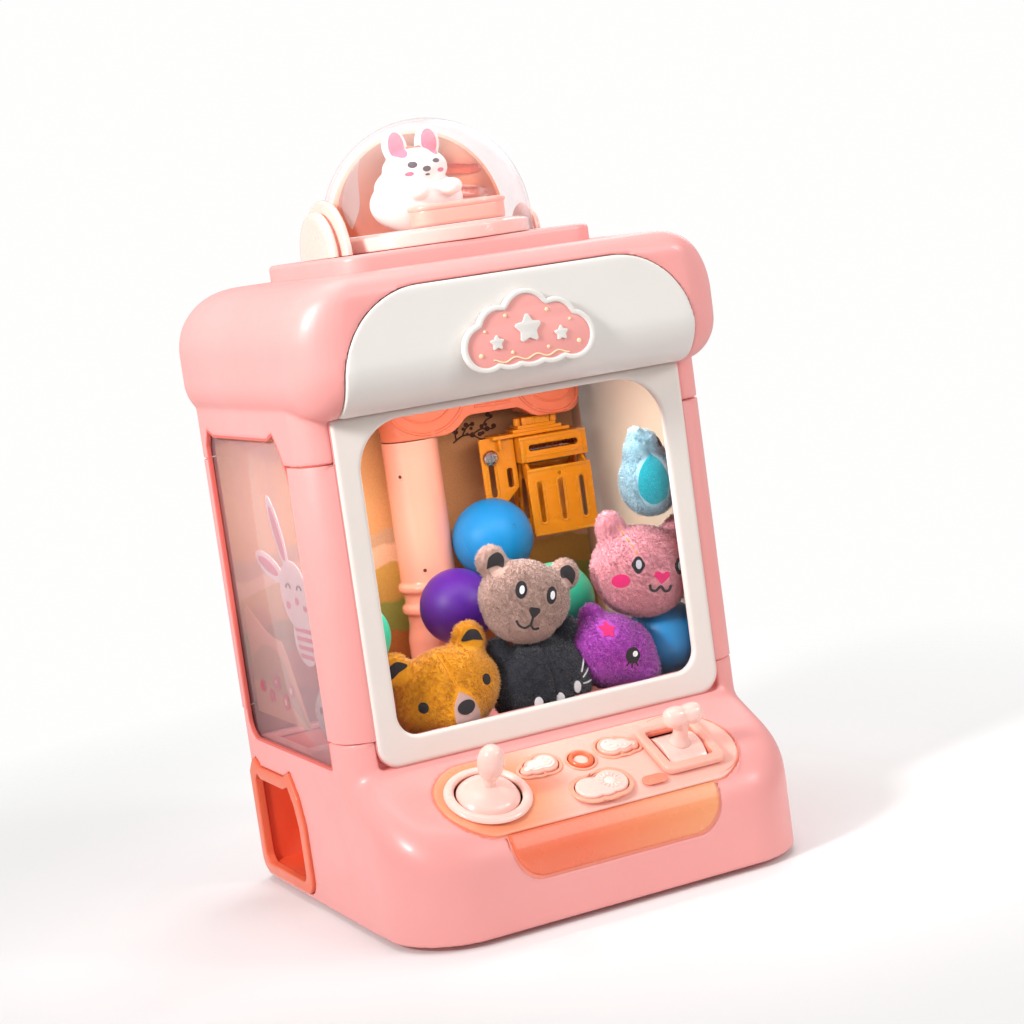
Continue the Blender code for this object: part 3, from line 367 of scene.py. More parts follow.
# painted highlight: the coral strip is painted paler towards its right end, where the light falls on it
faded(STRIP, "#f0a873", 0, -0.02, 0.06, 0.0, 0.8)
BACKDROP = plastic("backdrop_plastic", "#ffe6cf", 0.40, "#ffdcbf", glow=0.1)
faded(BACKDROP, "#ff8436", 2, 0.336, 0.380, 1.0, 0.1)
DECK = plastic("deck_plastic", "#fcbdae", 0.30, "#fab2a1", coat=0.25, glow=0.15)
ringed(DECK, "#f5946c", ROW - Vector((CONTROL_X, 0.0, 0.0)), 22.0, 46.0)
BALL_BLUE = plastic("ball_blue_plastic", "#1386c4", 0.42, "#0f7cba", grain=0.04, glow=0.1)
BALL_TEAL = plastic("ball_teal_plastic", "#3fc79e", 0.42, "#37bd93", grain=0.04, glow=0.1)
BALL_PURPLE = plastic("ball_purple_plastic", "#4b1d86", 0.42, "#441a7b", grain=0.04, glow=0.05)
DARK_BLUE = plastic("vent_shadow", "#123a66", 0.6)
FUR_GREY = pile("grey_plush", "#c6a598", "#b8958a")
FUR_ORANGE = pile("orange_plush", "#f7ab24", "#ee9a16")
FUR_BLACK = pile("black_plush", "#3d3e46", "#34353c")
FUR_PINK = pile("pink_plush", "#e9a0aa", "#e2929c")
FUR_PURPLE = glitter("purple_plush", "#c24fc6", "#ae3fb4", "#efb2f2")
FUR_BLUE = pile("pale_blue_plush", "#b4d9e6", "#9ccbdc")
FUR_TEAL = glitter("teal_plush", "#1ea9b8", "#189cae", "#9be6ea")
FUR_WHITE = pile("white_plush", "#f4efe8", "#e6ded4")
FELT_BLACK = felt("black_felt", "#221c20")
FELT_WHITE = felt("white_felt", "#f3eef0")
FELT_MAUVE = felt("mauve_felt", "#c6a09a")
FELT_MAGENTA = felt("magenta_felt", "#d81f6a")
FELT_RED = felt("red_felt", "#c9384a")
FELT_GREY = felt("grey_felt", "#b5b3ba")
THREAD = felt("gold_thread", "#d0961e")

# ------------------------------------------------------------------ drawing in millimetres


def object_of(name, mesh):
    obj = bpy.data.objects.new(name, mesh)
    bpy.context.scene.collection.objects.link(obj)
    return obj


def mesh_object(name, bm):
    mesh = bpy.data.meshes.new(name)
    bm.to_mesh(mesh)
    bm.free()
    return object_of(name, mesh)


def remove(*objects):
    for obj in objects:
        bpy.data.objects.remove(obj, do_unlink=True)


def bake(obj, angle=None):
    """Applies the modifiers and the object's own placing to its mesh."""
    bpy.context.view_layer.update()
    graph = bpy.context.evaluated_depsgraph_get()
    mesh = bpy.data.meshes.new_from_object(obj.evaluated_get(graph))
    mesh.transform(obj.matrix_world)
    if obj.type == "MESH":
        obj.modifiers.clear()
        obj.data = mesh
        obj.matrix_world = Matrix()
    else:
        name = obj.name
        remove(obj)
        obj = object_of(name, mesh)
    if angle is not None:
        shade(obj, angle)
    return obj


def shade(obj, angle=35.0):
    obj.data.shade_smooth()
    obj.data.set_sharp_from_angle(angle=math.radians(angle))
    return obj


def bevelled(obj, width=0.4):
    bevel = obj.modifiers.new("edge", "BEVEL")
    bevel.width = width
    bevel.segments = 2
    bevel.limit_method = "ANGLE"
    bevel.angle_limit = math.radians(35)
    bevel.use_clamp_overlap = True
    return bake(obj, 40.0)


def block(name, x, y, z, width=0.5):
    bm = bmesh.new()
    bmesh.ops.create_cube(bm, size=1.0)
    bmesh.ops.scale(bm, vec=(x[1] - x[0], y[1] - y[0], z[1] - z[0]), verts=bm.verts)
    bmesh.ops.translate(bm, vec=((x[1] + x[0]) / 2, (y[1] + y[0]) / 2, (z[1] + z[0]) / 2), verts=bm.verts)
    obj = mesh_object(name, bm)
    return bevelled(obj, width) if width else obj


def cylinder(name, radius, z, frame=Matrix(), sides=48, width=0.0):
    bm = bmesh.new()
    bmesh.ops.create_cone(
        bm, cap_ends=True, segments=sides, radius1=radius, radius2=radius, depth=z[1] - z[0]
    )
    bmesh.ops.translate(bm, vec=(0, 0, (z[0] + z[1]) / 2), verts=bm.verts)
    bm.transform(frame)
    obj = mesh_object(name, bm)
    return bevelled(obj, width) if width else shade(obj, 40.0)


def ball(name, centre, radii, detail=4):
    bm = bmesh.new()
    bmesh.ops.create_icosphere(bm, subdivisions=detail, radius=1.0)
    bmesh.ops.scale(bm, vec=Vector(radii), verts=bm.verts)
    bmesh.ops.translate(bm, vec=Vector(centre), verts=bm.verts)
    return shade(mesh_object(name, bm), 80.0)


def rounded(corners, steps=8):
    """An outline through corners (x, y, radius), each rounded in a number of steps."""
    points = []
    count = len(corners)
    for i, (x, y, radius) in enumerate(corners):
        here = Vector((x, y))
        if radius <= 0:
            points.append(here)
            continue
        before = (Vector(corners[i - 1][:2]) - here).normalized()
        after = (Vector(corners[(i + 1) % count][:2]) - here).normalized()
        half = before.angle(after) / 2
        middle = here + (before + after).normalized() * (radius / math.sin(half))
        tangent = radius / math.tan(half)
        first = here + before * tangent - middle
        turn = (here + after * tangent - middle).angle_signed(first)
        points += [middle + Matrix.Rotation(turn * k / steps, 2) @ first for k in range(steps + 1)]
    return points


def rectangle(x0, x1, y0, y1, radius=0.0, steps=8):
    return rounded([(x0, y0, radius), (x1, y0, radius), (x1, y1, radius), (x0, y1, radius)], steps)


def circle(x, y, radius, sides=64, tall=1.0):
    return [Vector((x + radius * math.cos(a), y + tall * radius * math.sin(a))) for a in round_about(sides)]


def round_about(count):
    """Evenly spaced angles all the way round, in radians."""
    return [2 * math.pi * k / count for k in range(count)]


def arc(start, end, steps):
    """Evenly spaced angles from start to end degrees, in radians."""
    return [math.radians(start + (end - start) * k / steps) for k in range(steps + 1)]


def mirrored(points):
    """An outline reflected left to right, still running the same way round."""
    return [Vector((-p.x, p.y)) for p in reversed(points)]


def discs_outline(discs, middle, sides=160):
    """The outline round overlapping discs (x, y, radius), as seen from a point inside them all."""
    points = []
    for a in round_about(sides):
        way = Vector((math.cos(a), math.sin(a)))
        reach = 0.0
        for x, y, radius in discs:
            to = Vector((x, y)) - Vector(middle)
            along = to.dot(way)
            inside = radius**2 - (to.length_squared - along**2)
            if inside > 0:
                reach = max(reach, along + math.sqrt(inside))
        points.append(Vector(middle) + way * reach)
    return points


def offset_outline(points, grow):
    """A closed outline moved outwards by grow along its own normals."""
    count = len(points)
    area = sum(points[i - 1].cross(points[i]) for i in range(count))
    moved = []
    for i in range(count):
        run = (points[(i + 1) % count] - points[i - 1]).normalized()
        out = Vector((run.y, -run.x)) * (1 if area > 0 else -1)
        moved.append(points[i] + out * grow)
    return moved


def add_spline(curve, points, closed):
    spline = curve.splines.new("POLY")
    spline.points.add(len(points) - 1)
    for made, at in zip(spline.points, points):
        made.co = (*at, 0.0, 1.0) if len(at) == 2 else (*at, 1.0)
    spline.use_cyclic_u = closed


def plate(name, loops, depth, width=0.5, frame=Matrix(), segments=2):
    """A flat outline, with any holes, between two depths along its normal, its edges rounded by width."""
    curve = bpy.data.curves.new(name, "CURVE")
    curve.dimensions = "2D"
    curve.fill_mode = "BOTH"
    curve.bevel_depth = width
    curve.bevel_resolution = segments
    curve.offset = -width
    curve.extrude = max(0.0, (depth[1] - depth[0]) / 2 - width)
    for loop in loops:
        add_spline(curve, loop, True)
    obj = object_of(name, curve)
    obj.matrix_world = frame @ moving(0.0, 0.0, (depth[0] + depth[1]) / 2)
    obj = bake(obj)
    bm = bmesh.new()
    bm.from_mesh(obj.data)
    bmesh.ops.remove_doubles(bm, verts=bm.verts, dist=1e-4)
    bmesh.ops.recalc_face_normals(bm, faces=bm.faces)
    bm.to_mesh(obj.data)
    bm.free()
    return shade(obj, 35.0)


def turned(name, profile, steps=96, frame=Matrix(), angle=40.0):
    """A profile of (radius, height), from the top down its outer side, turned about its Z axis."""
    bm = bmesh.new()
    verts = [bm.verts.new((radius, 0.0, height)) for radius, height in profile]
    for first, second in zip(verts, verts[1:]):
        bm.edges.new((first, second))
    if profile[0][0] > 0 and profile[-1][0] > 0:
        bm.edges.new((verts[-1], verts[0]))
    obj = mesh_object(name, bm)
    screw = obj.modifiers.new("turn", "SCREW")
    screw.axis = "Z"
    screw.steps = steps
    screw.render_steps = steps
    screw.use_merge_vertices = True
    screw.merge_threshold = 1e-4
    obj.matrix_world = frame
    return bake(obj, angle)


def soft_profile(profile, radius=0.8, steps=4):
    """A turned profile with its inner corners rounded."""
    points = [Vector(p) for p in profile]
    made = [points[0]]
    for before, here, after in zip(points, points[1:], points[2:]):
        back, on = before - here, after - here
        reach = min(radius, back.length * 0.45, on.length * 0.45)
        first, last = here + back.normalized() * reach, here + on.normalized() * reach
        for k in range(steps + 1):
            t = k / steps
            made.append(first * (1 - t) ** 2 + here * 2 * t * (1 - t) + last * t**2)
    made.append(points[-1])
    return [(p.x, p.y) for p in made]


def tube(name, paths, radius, frame=Matrix(), closed=False):
    """Round wires or beads along 3-D paths."""
    curve = bpy.data.curves.new(name, "CURVE")
    curve.dimensions = "3D"
    curve.bevel_depth = radius
    curve.bevel_resolution = 3
    curve.use_fill_caps = True
    for path in paths:
        add_spline(curve, path, closed)
    obj = object_of(name, curve)
    obj.matrix_world = frame
    return bake(obj, 60.0)


def boolean(obj, other, operation="DIFFERENCE"):
    modifier = obj.modifiers.new("b", "BOOLEAN")
    modifier.operation = operation
    modifier.solver = "EXACT"
    modifier.object = other
    obj = bake(obj)
    remove(other)
    return obj


def cut(obj, *cutters):
    for cutter in cutters:
        obj = boolean(obj, cutter)
    return obj


def union(obj, *others):
    for other in others:
        obj = boolean(obj, other, "UNION")
    return obj


def merged(name, *objects):
    """One mesh from several that only touch or overlap, without a Boolean."""
    bm = bmesh.new()
    for obj in objects:
        bm.from_mesh(obj.data)
    remove(*objects)
    return shade(mesh_object(name, bm), 35.0)


def remeshed(obj, voxel, rounds=2):
    """Rebuilds a surface from voxels of one size and softens its edges by a number of rounds."""
    remesh = obj.modifiers.new("voxels", "REMESH")
    remesh.mode = "VOXEL"
    remesh.voxel_size = voxel
    smooth = obj.modifiers.new("soften", "SMOOTH")
    smooth.factor = 0.5
    smooth.iterations = rounds
    return bake(obj, 180.0)


def catmull(points, steps=6):
    """A smooth run through points of any dimension."""
    ends = [Vector(p) for p in (points[0], *points, points[-1])]
    made = []
    for a, b, c, d in zip(ends, ends[1:], ends[2:], ends[3:]):
        for k in range(steps):
            t = k / steps
            made.append(0.5 * (2 * b + (c - a) * t + (2 * a - 5 * b + 4 * c - d) * t**2
                               + (3 * b - 3 * c + d - a) * t**3))
    made.append(ends[-1])
    return made


def loft(name, rows):
    """A closed solid through stacked outlines of equal counts, lowest first."""
    bm = bmesh.new()
    rings = [[bm.verts.new(p) for p in row] for row in rows]
    count = len(rings[0])
    for low, high in zip(rings, rings[1:]):
        for k in range(count):
            n = (k + 1) % count
            bm.faces.new((low[k], low[n], high[n], high[k]))
    bm.faces.new(list(reversed(rings[0])))
    bm.faces.new(rings[-1])
    bmesh.ops.recalc_face_normals(bm, faces=bm.faces)
    return mesh_object(name, bm)


def show(obj, material, nodes=(), name=None, body="machine"):
    """Puts a finished piece into the machine: real size and place, material, CAD nodes, body."""
    if name:
        obj.name = name
    obj.data.transform(HOME @ obj.matrix_world)
    obj.matrix_world = Matrix()
    obj.data.materials.clear()
    obj.data.materials.append(material)
    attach(obj, body)
    if nodes:
        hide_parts(*nodes)
    return obj


# ------------------------------------------------------------------ the casing


def upright(x, y0, y1, front, rear):
    """A rounded plan, the same to left and right, from y0 at its front to y1 at its rear."""
    return rounded([(-x, y0, front), (x, y0, front), (x, y1, rear), (-x, y1, rear)], 10)


def cabin_block(name, low, high):
    return plate(name, [upright(CASE_HALF, CASE_FRONT, CASE_BACK, 15.5, 10.0)], (low, high), 0.0)


def cabin_hollow(low, high):
    plan = upright(CASE_HALF - WALL, 9.5, CASE_BACK - WALL, 8.0, 6.8)
    return plate("hollow", [plan], (low, high), 0.0)


def front_cuts(pocket, opening):
    """The cutters for the window frame's pocket and for the opening behind it, by their heights."""
    return (
        block("pocket", (-POCKET_HALF, POCKET_HALF), (-5, POCKET_DEPTH), pocket, 0),
        block("opening", (-OPENING_HALF, OPENING_HALF), (0, 15), opening, 0),
    )


def bevel_edges(bm, wanted, radius, segments):
    edges = [edge for edge in bm.edges if wanted(*(vert.co for vert in edge.verts))]
    bmesh.ops.bevel(
        bm, geom=edges, offset=radius, segments=segments, profile=0.5, affect="EDGES", clamp_overlap=True
    )


def deck_block(name, grow, bottom=-30.0, back=20.0):
    """The base's front under its sloping deck, with each face moved outwards by grow."""
    front = DECK_FRONT - grow
    bm = bmesh.new()
    bmesh.ops.create_cube(bm, size=1.0)
    lift = grow / math.cos(SLOPE)
    for vert in bm.verts:
        x = math.copysign(CASE_HALF + grow, vert.co.x)
        y = front if vert.co.y < 0 else back
        z = CREASE_Z + y * math.tan(SLOPE) + lift if vert.co.z > 0 else bottom
        vert.co = Vector((x, y, z))
    bevel_edges(
        bm,
        lambda a, b: abs(a.y - front) < 0.1 and abs(b.y - front) < 0.1 and abs(a.x - b.x) < 0.1,
        38.0 + grow,
        16,
    )
    bevel_edges(bm, lambda a, b: min(a.z, b.z) > 30 and min(a.y, b.y) < back - 0.1, 16.0 + grow, 10)
    return mesh_object(name, bm)


def side_outline():
    """The side window's outline as (y, z): an ear at each end of its head."""
    head = 238.5
    return rounded(
        [
            (26.0, 76.6, 3.0), (145.0, 76.6, 11.0), (145.0, head - 6, 4.0), (140.0, head + 3.2, 1.5),
            (131.0, head, 2.0), (50.0, head, 2.0), (41.0, head + 3.2, 1.5), (33.0, head - 7, 6.0),
            (26.0, head - 22, 12.0),
        ],
        6,
    )


def side_opening(name):
    return plate(name, [side_outline()], (-125.0, 125.0), 0.0, FROM_RIGHT)


def side_reveal_shades():
    """The reveal round each side window, painted darker for the shade inside the window's recess."""
    outline = side_outline()
    edge = [offset_outline(outline, 0.2), offset_outline(outline, -1.1)]
    for name, span in (("left", (-109.4, -107.2)), ("right", (107.2, 109.4))):
        show(plate(f"side_reveal_shade_{name}", edge, span, 0.3, FROM_RIGHT), REVEAL_SHADE)


def outlet_outline(grow=0.0):
    """The prize outlet's bezel as (y, z), with its two ears."""
    front, rear, foot, head = 76.0 - grow, 150.0 + grow, 3.5 - grow, 62.0 + grow
    return rounded(
        [
            (front, foot, 9.0), (rear, foot, 9.0), (rear, head - 4, 3.0), (rear - 7, head + 4, 2.0),
            (rear - 15, head, 3.0), (front + 24, head, 3.0), (front + 14, head + 4, 2.0),
            (front + 5, head - 8, 6.0), (front, head - 22, 8.0),
        ],
        6,
    )


def outlet_inner():
    """The outlet's opening inside its bezel, as (y, z)."""
    return rounded(
        [
            (83.5, 9.0, 6.0), (143.0, 9.0, 6.0), (143.0, 54.0, 3.0), (139.5, 58.0, 1.5), (134.0, 55.5, 2.0),
            (101.0, 55.5, 2.0), (93.0, 58.0, 1.5), (87.0, 49.0, 5.0), (83.5, 38.0, 6.0),
        ],
        6,
    )


def panel_outline(grow=0.0):
    """The control panel's outline: a round lobe at each side and a tongue that folds down in front."""
    lobe = 25.0 + grow
    tongue = 56.0 + grow
    row = 27.4
    foot = -16.8 - grow
    start = row - math.sqrt(lobe**2 - (tongue - CONTROL_X) ** 2)
    left = [Vector((-CONTROL_X + lobe * math.cos(a), row + lobe * math.sin(a))) for a in arc(90, 265.5, 39)]
    left = [p for p in left if p.y > start + 0.5 or p.x < -tongue]
    corners = [(-tongue, start, 0.0), (-tongue, foot, 15.0), (tongue, foot, 15.0), (tongue, start, 0.0)]
    return left + rounded(corners, 8) + mirrored(left)


def panel_prism(name, outlines):
    return plate(name, outlines, (35, 90), 0.0, PANEL_FRAME)


def deck_frame(x=0.0, up=0.0, out=0.0):
    """A place on the deck, x to the right of its middle and up the slope from the controls' row."""
    origin = ROW + Vector((x, 0.0, 0.0))
    return Matrix.Translation(origin) @ Matrix.Rotation(SLOPE, 4, "X") @ moving(0.0, up, out)


def base_blank():
    """The base's outer form with its deck and cabin blended into each other."""
    cabin = cabin_block("base_blank", -30.0, 120.0)
    solid = union(cabin, deck_block("deck", 0.0))
    return remeshed(solid, 2.4, 7)


def base_shell():
    keep = block("keep", (-130, 130), (-80, 180), (0.4, SIDE_FOOT - 0.4), 0)
    shell = boolean(base_blank(), keep, "INTERSECT")
    shell = cut(
        shell,
        cabin_hollow(-20.0, 120.0),
        deck_block("deck_hollow", -WALL, -20.0),
        *front_cuts((FRAME_FOOT - 0.3, 120), (89.6, 120)),
        side_opening("sill"),
        panel_prism("panel_hole", [panel_outline(0.3)]),
        plate("outlet_hole", [outlet_outline(0.4)], (-118, -102), 0.0, FROM_RIGHT),
        block("socket_hole", (59, 71), (150, 165), (9.5, 18.5), 0),
    )
    show(remeshed(shell, 1.25, 3), PINK, ["base_shell"], "base_casing")


def fillet_inset(z, fillets):
    """How far a face with a (height, radius) fillet at its foot and its head is set in at a height."""
    (low, low_radius), (high, high_radius) = fillets
    past, radius = (low - z, low_radius) if z < low else (z - high, high_radius)
    past = min(max(past, 0.0), radius)
    return radius - math.sqrt(radius**2 - past**2)


def head_block(name, grow):
    """The head's bulging block, with each face moved outwards by grow."""
    steps = 56
    middle = (HEAD_UNDER + HEAD_TOP) / 2
    stretch = 1 + grow / (HEAD_TOP - middle)
    rows = []
    for k in range(steps + 1):
        z = HEAD_UNDER + (HEAD_TOP - HEAD_UNDER) * (0.5 - 0.5 * math.cos(math.pi * k / steps))
        side, front, back = (fillet_inset(z, f) for f in (SIDE_FILLETS, FRONT_FILLETS, BACK_FILLETS))
        plan = upright(
            HEAD_HALF + grow - side,
            HEAD_FRONT - grow + front,
            HEAD_BACK + grow - back,
            max(27.0 - 0.6 * (side + front), 4.0) + grow,
            max(14.0 - 0.3 * (side + back), 4.0) + grow,
        )
        rows.append([(p.x, p.y, middle + (z - middle) * stretch) for p in plan])
    return loft(name, rows)


def marquee_outline(grow=0.0):
    """The pale sign panel's outline as (x, z)."""
    half = 93.0 + grow
    head = 303.5 + grow
    foot = 246.5 - grow
    return rounded([(-half, foot, 3.0), (half, foot, 3.0), (half, head, 42.0), (-half, head, 42.0)], 20)


def head_and_marquee():
    front = plate("marquee_cut", [marquee_outline()], (0.6, 45.0), 0.0, FROM_FRONT)
    panel = boolean(head_block("marquee_skin", 0.6), front, "INTERSECT")
    panel = remeshed(cut(panel, head_block("marquee_core", -2.4)), 0.7, 3)
    show(panel, CREAM, ["marquee_panel"], "sign_panel")
    shell = cut(
        union(cabin_block("neck", SIDE_HEAD + 0.4, 262.0), head_block("head", 0.0)),
        cabin_hollow(210.0, 275.0),
        block("hollow_top", (-92, 92), (0, 140), (260, 305), 0),
        *front_cuts((200, HEAD_UNDER + 0.4), (200, 244)),
        side_opening("head_sill"),
        plate("marquee_hole", [marquee_outline(0.2)], (0.0, 45.0), 0.0, FROM_FRONT),
    )
    plinth = plate("plinth", [rectangle(-69, 69, 18, 133, 14.0)], (306.0, PLINTH_TOP), 2.4, Matrix(), 5)
    casing = merged("head_casing", remeshed(shell, 1.2, 3), plinth)
    show(casing, PINK, ["head_shell"], "head_casing")


def pillars():
    inner = CASE_HALF - WALL
    corner = rounded(
        [
            (POCKET_HALF, CASE_FRONT, 0.6), (CASE_HALF, CASE_FRONT, 15.3), (CASE_HALF, 26.0, 0.6),
            (inner, 26.0, 0.3), (inner, 18.0, 0.0), (100.0, 9.4, 0.0), (OPENING_HALF, 9.4, 0.0),
            (OPENING_HALF, POCKET_DEPTH, 0.0), (POCKET_HALF, POCKET_DEPTH, 0.0),
        ],
        14,
    )
    for side, name in ((-1, "front_pillar_left"), (1, "front_pillar_right")):
        outline = [Vector((side * p.x, p.y)) for p in corner]
        post = plate(f"{name}_cover", [outline], (SIDE_FOOT, SIDE_HEAD), 0.35)
        show(post, PINK, [name])
    rear = rounded(
        [
            (-CASE_HALF, 145.0, 0.5), (-CASE_HALF, CASE_BACK, 10.0), (CASE_HALF, CASE_BACK, 10.0),
            (CASE_HALF, 145.0, 0.5), (inner, 145.0, 0.5), (inner, CASE_BACK - WALL, 6.8),
            (-inner, CASE_BACK - WALL, 6.8), (-inner, 145.0, 0.5),
        ],
        10,
    )
    show(plate("rear_cover", [rear], (SIDE_FOOT, SIDE_HEAD), 0.35), PINK, ["rear_housing"])


def window_frame():
    half = POCKET_HALF - 0.2
    foot, head = FRAME_FOOT, HEAD_UNDER
    outer = rounded([(-half, foot, 11.0), (half, foot, 11.0), (half, head, 0.8), (-half, head, 0.8)], 12)
    side = 82.2
    opening = rounded([(-side, 90.4, 11.0), (side, 90.4, 11.0), (side, 242.0, 24.0), (-side, 242.0, 24.0)], 16)
    ring = plate("front_bezel", [outer, opening], (-4.0, 0.0), 1.7, FROM_FRONT, 5)
    show(remeshed(ring, 0.65), BEZEL, ["window_frame"], "window_bezel")
    edge = [offset_outline(outer, 0.35), offset_outline(outer, -0.6)]
    show(plate("bezel_backing", edge, (-5.8, -1.3), 0.0, FROM_FRONT), PINK)


def panel_part(name, low, high):
    """The part of the control panel's skin between two heights of its outline."""
    solid = boolean(deck_block(name, 0.7), panel_prism("blank", [panel_outline()]), "INTERSECT")
    solid = cut(solid, deck_block("under", -2.2, -20.0))
    keep = plate("keep", [rectangle(-120, 120, low, high)], (0, 120), 0.0, PANEL_FRAME)
    return boolean(solid, keep, "INTERSECT")


def control_panel():
    """The pale deck panel and, below its fold, the coral strip."""
    fold = 3.0
    holes = [("stick_hole", circle(0, 0, 17.0), -CONTROL_X, 0.0)]
    holes.append(("lever_hole", rectangle(-11.5, 11.5, -15.2, 15.2, 3.0), LEVER_X, 0.0))
    for x, up, outline in button_outlines().values():
        holes.append(("button_hole", offset_outline(outline, 0.5), x, up))
    cutters = [plate(name, [outline], (-8, 8), 0.0, deck_frame(x, up)) for name, outline, x, up in holes]
    deck = remeshed(cut(panel_part("panel_deck", fold + 0.12, 90.0), *cutters), 0.7)
    show(deck, DECK, ["control_panel"], "deck_panel")
    strip = remeshed(panel_part("panel_strip", -60.0, fold - 0.12), 0.7)
    show(strip, STRIP, name="deck_strip")
    band = panel_prism("band", [panel_outline(0.9), panel_outline(-0.6)])
    seam = boolean(deck_block("panel_seam", -0.5), band, "INTERSECT")
    show(shade(cut(seam, deck_block("seam_under", -1.8, -20.0))), BEAD)


def button_outlines():
    """Each button's place on the deck (x, up the slope) and its outline."""
    wing = discs_outline([(-3.5, 1.0, 6.5), (2.5, 0.0, 5.5), (7.5, -1.5, 3.2)], (0.0, 0.0), 120)
    cloud = discs_outline([(-6.5, -0.8, 7.4), (5.5, 0.4, 8.2), (0.0, -1.4, 7.2)], (0.0, 0.0), 140)
    return {
        "button_left": (-21.5, 11.0, mirrored(wing)),
        "button_right": (21.5, 11.0, wing),
        "button_centre": (0.0, 8.5, circle(0, 0, 6.2)),
        "button_cloud": (0.0, -12.5, cloud),
    }


def outlet():
    ring = plate("outlet_bezel", [outlet_outline(), outlet_inner()], (-111.6, -106.9), 0.8, FROM_RIGHT, 3)
    show(ring, OUTLET_CORAL, ["outlet_frame"])


def finish_cad(nodes, material, width=0.0003):
    """Keeps CAD nodes as they are, with their edges eased and a real finish."""
    crease = math.radians(40)
    for name in nodes:
        node = frame["nodes"][name]
        node.data.materials.clear()
        node.data.materials.append(material)
        weld = node.modifiers.new("weld", "WELD")
        weld.merge_threshold = 0.00001
        if width:
            bevel = node.modifiers.new("edge", "BEVEL")
            bevel.width = width
            bevel.segments = 2
            bevel.limit_method = "ANGLE"
            bevel.angle_limit = crease
        node.data.shade_smooth()
        node.data.set_sharp_from_angle(angle=crease)


# ------------------------------------------------------------------ controls


def placed(obj, frame_matrix):
    obj.matrix_world = frame_matrix @ obj.matrix_world
    return obj


def stick_parts():
    deck = deck_frame(-CONTROL_X)
    collar = [(16.6, 2.6), (17.4, 3.3), (19.4, 3.2), (21.0, 2.1), (21.5, 0.9), (16.4, 0.9), (16.4, 2.0)]
    ring = turned("stick_collar", soft_profile(collar, 1.0, 5), 128, deck)
    show(ring, PINK_LIGHT, ["joystick_collar"])
    neck = (2.9, 7.8)
    knob = [(0.0, 30.0), (3.4, 29.0), (5.6, 26.2), (6.6, 22.0), (6.2, 17.5), (4.5, 13.5), (3.1, 11.3), neck]
    knob = [(max(p.x, 0.0), p.y) for p in catmull(knob)]
    disc = [neck, (9.0, 6.3), (13.6, 3.6), (15.4, 1.2), (15.4, 0.4), (12.0, -1.0), (4.0, -2.0), (4.0, -13.0)]
    disc.append((0.0, -13.0))
    stick = turned("stick_and_knob", knob[:-1] + soft_profile(disc, 2.2, 6), 128, deck)
    show(stick, PINK_LIGHT, ["joystick"], body="stick")


def lever_parts():
    deck = deck_frame(LEVER_X)
    outer = rectangle(-17.0, 17.0, -18.5, 17.0, 4.5)
    inner = rectangle(-12.2, 12.2, -13.2, 13.2, 2.5)
    surround = plate("lever_surround", [outer, inner], (0.9, 4.6), 1.2, deck, 4)
    show(surround, PEACH, ["lever_bezel"])
    lining = [offset_outline(inner, -0.05), offset_outline(inner, -0.7)]
    show(plate("lever_lining", lining, (0.9, 3.0), 0.1, deck), BEAD)
    arch = [Vector((17.0 * math.sin(a), 17.0 * math.cos(a) - 12.0)) for a in arc(-42, 42, 28)]
    arch += [Vector((5.0, -9.0)), Vector((-5.0, -9.0))]
    saddle = plate("lever_saddle", [arch], (-10.6, 10.6), 0.7, deck @ FROM_RIGHT, 4)
    shaft = [(0.0, 19.0), (3.6, 19.0), (3.8, 8.0), (6.2, 3.5), (0.0, 3.5)]
    stem = turned("stem", soft_profile(shaft, 2.0, 5), 64, deck)
    ends = [(0.0, 10.4), (2.8, 10.0), (4.7, 8.2), (5.4, 5.2), (5.2, 2.4), (4.7, 0.0)]
    ends += [(r, -z) for r, z in reversed(ends[:-1])]
    bar = [(max(p.x, 0.0), p.y) for p in catmull(ends)]
    grip = turned("grip", bar, 64, deck @ moving(0.0, 0.0, 20.5) @ turning(90, "Y"))
    handle = remeshed(union(stem, grip), 0.35, 4)
    show(merged("lever_and_saddle", saddle, handle), PINK_LIGHT, ["lever_handle"], body="lever")


def wing_relief(name, frame_matrix, outline, side):
    """A pearly island with curled feather ridges."""
    island = plate(f"{name}_pearl", [offset_outline(outline, -1.7)], (2.0, 3.0), 0.4, frame_matrix)
    show(island, PEARL, body=name)
    paths = []
    for k in range(4):
        x, y, reach = side * (2.9 * k - 3.2), 1.6 - 0.7 * k, 3.6 - 0.55 * k
        turn = arc(-165, -25, 10)
        paths.append([(x + side * reach * math.cos(a), y + reach * math.sin(a), 3.0) for a in turn])
    curl = []
    for k, a in enumerate(arc(20, 320, 16)):
        reach = 1.2 + 0.06 * k
        curl.append((side * (reach * math.cos(a) - 4.2), 2.6 + reach * math.sin(a), 3.0))
    show(tube(f"{name}_feathers", [*paths, curl], 0.34, frame_matrix), PEARL, body=name)


def sun_relief(name, at):
    """A pearly sun with fourteen rays."""
    middle = Vector((4.6, 0.2, 0.0))
    sun = [(0.0, 3.3), (1.9, 3.1), (2.9, 2.6), (2.9, 2.2), (0.0, 2.2)]
    disc = turned("sun_disc", soft_profile(sun, 0.5), 64, at @ Matrix.Translation(middle))
    show(disc, PEARL, body=name)
    rays = []
    for a in round_about(14):
        rays.append([middle + Vector((r * math.cos(a), r * math.sin(a), 2.6)) for r in (3.5, 4.2, 5.4)])
    show(tube("sun_rays", rays, 0.42, at), PEARL, body=name)


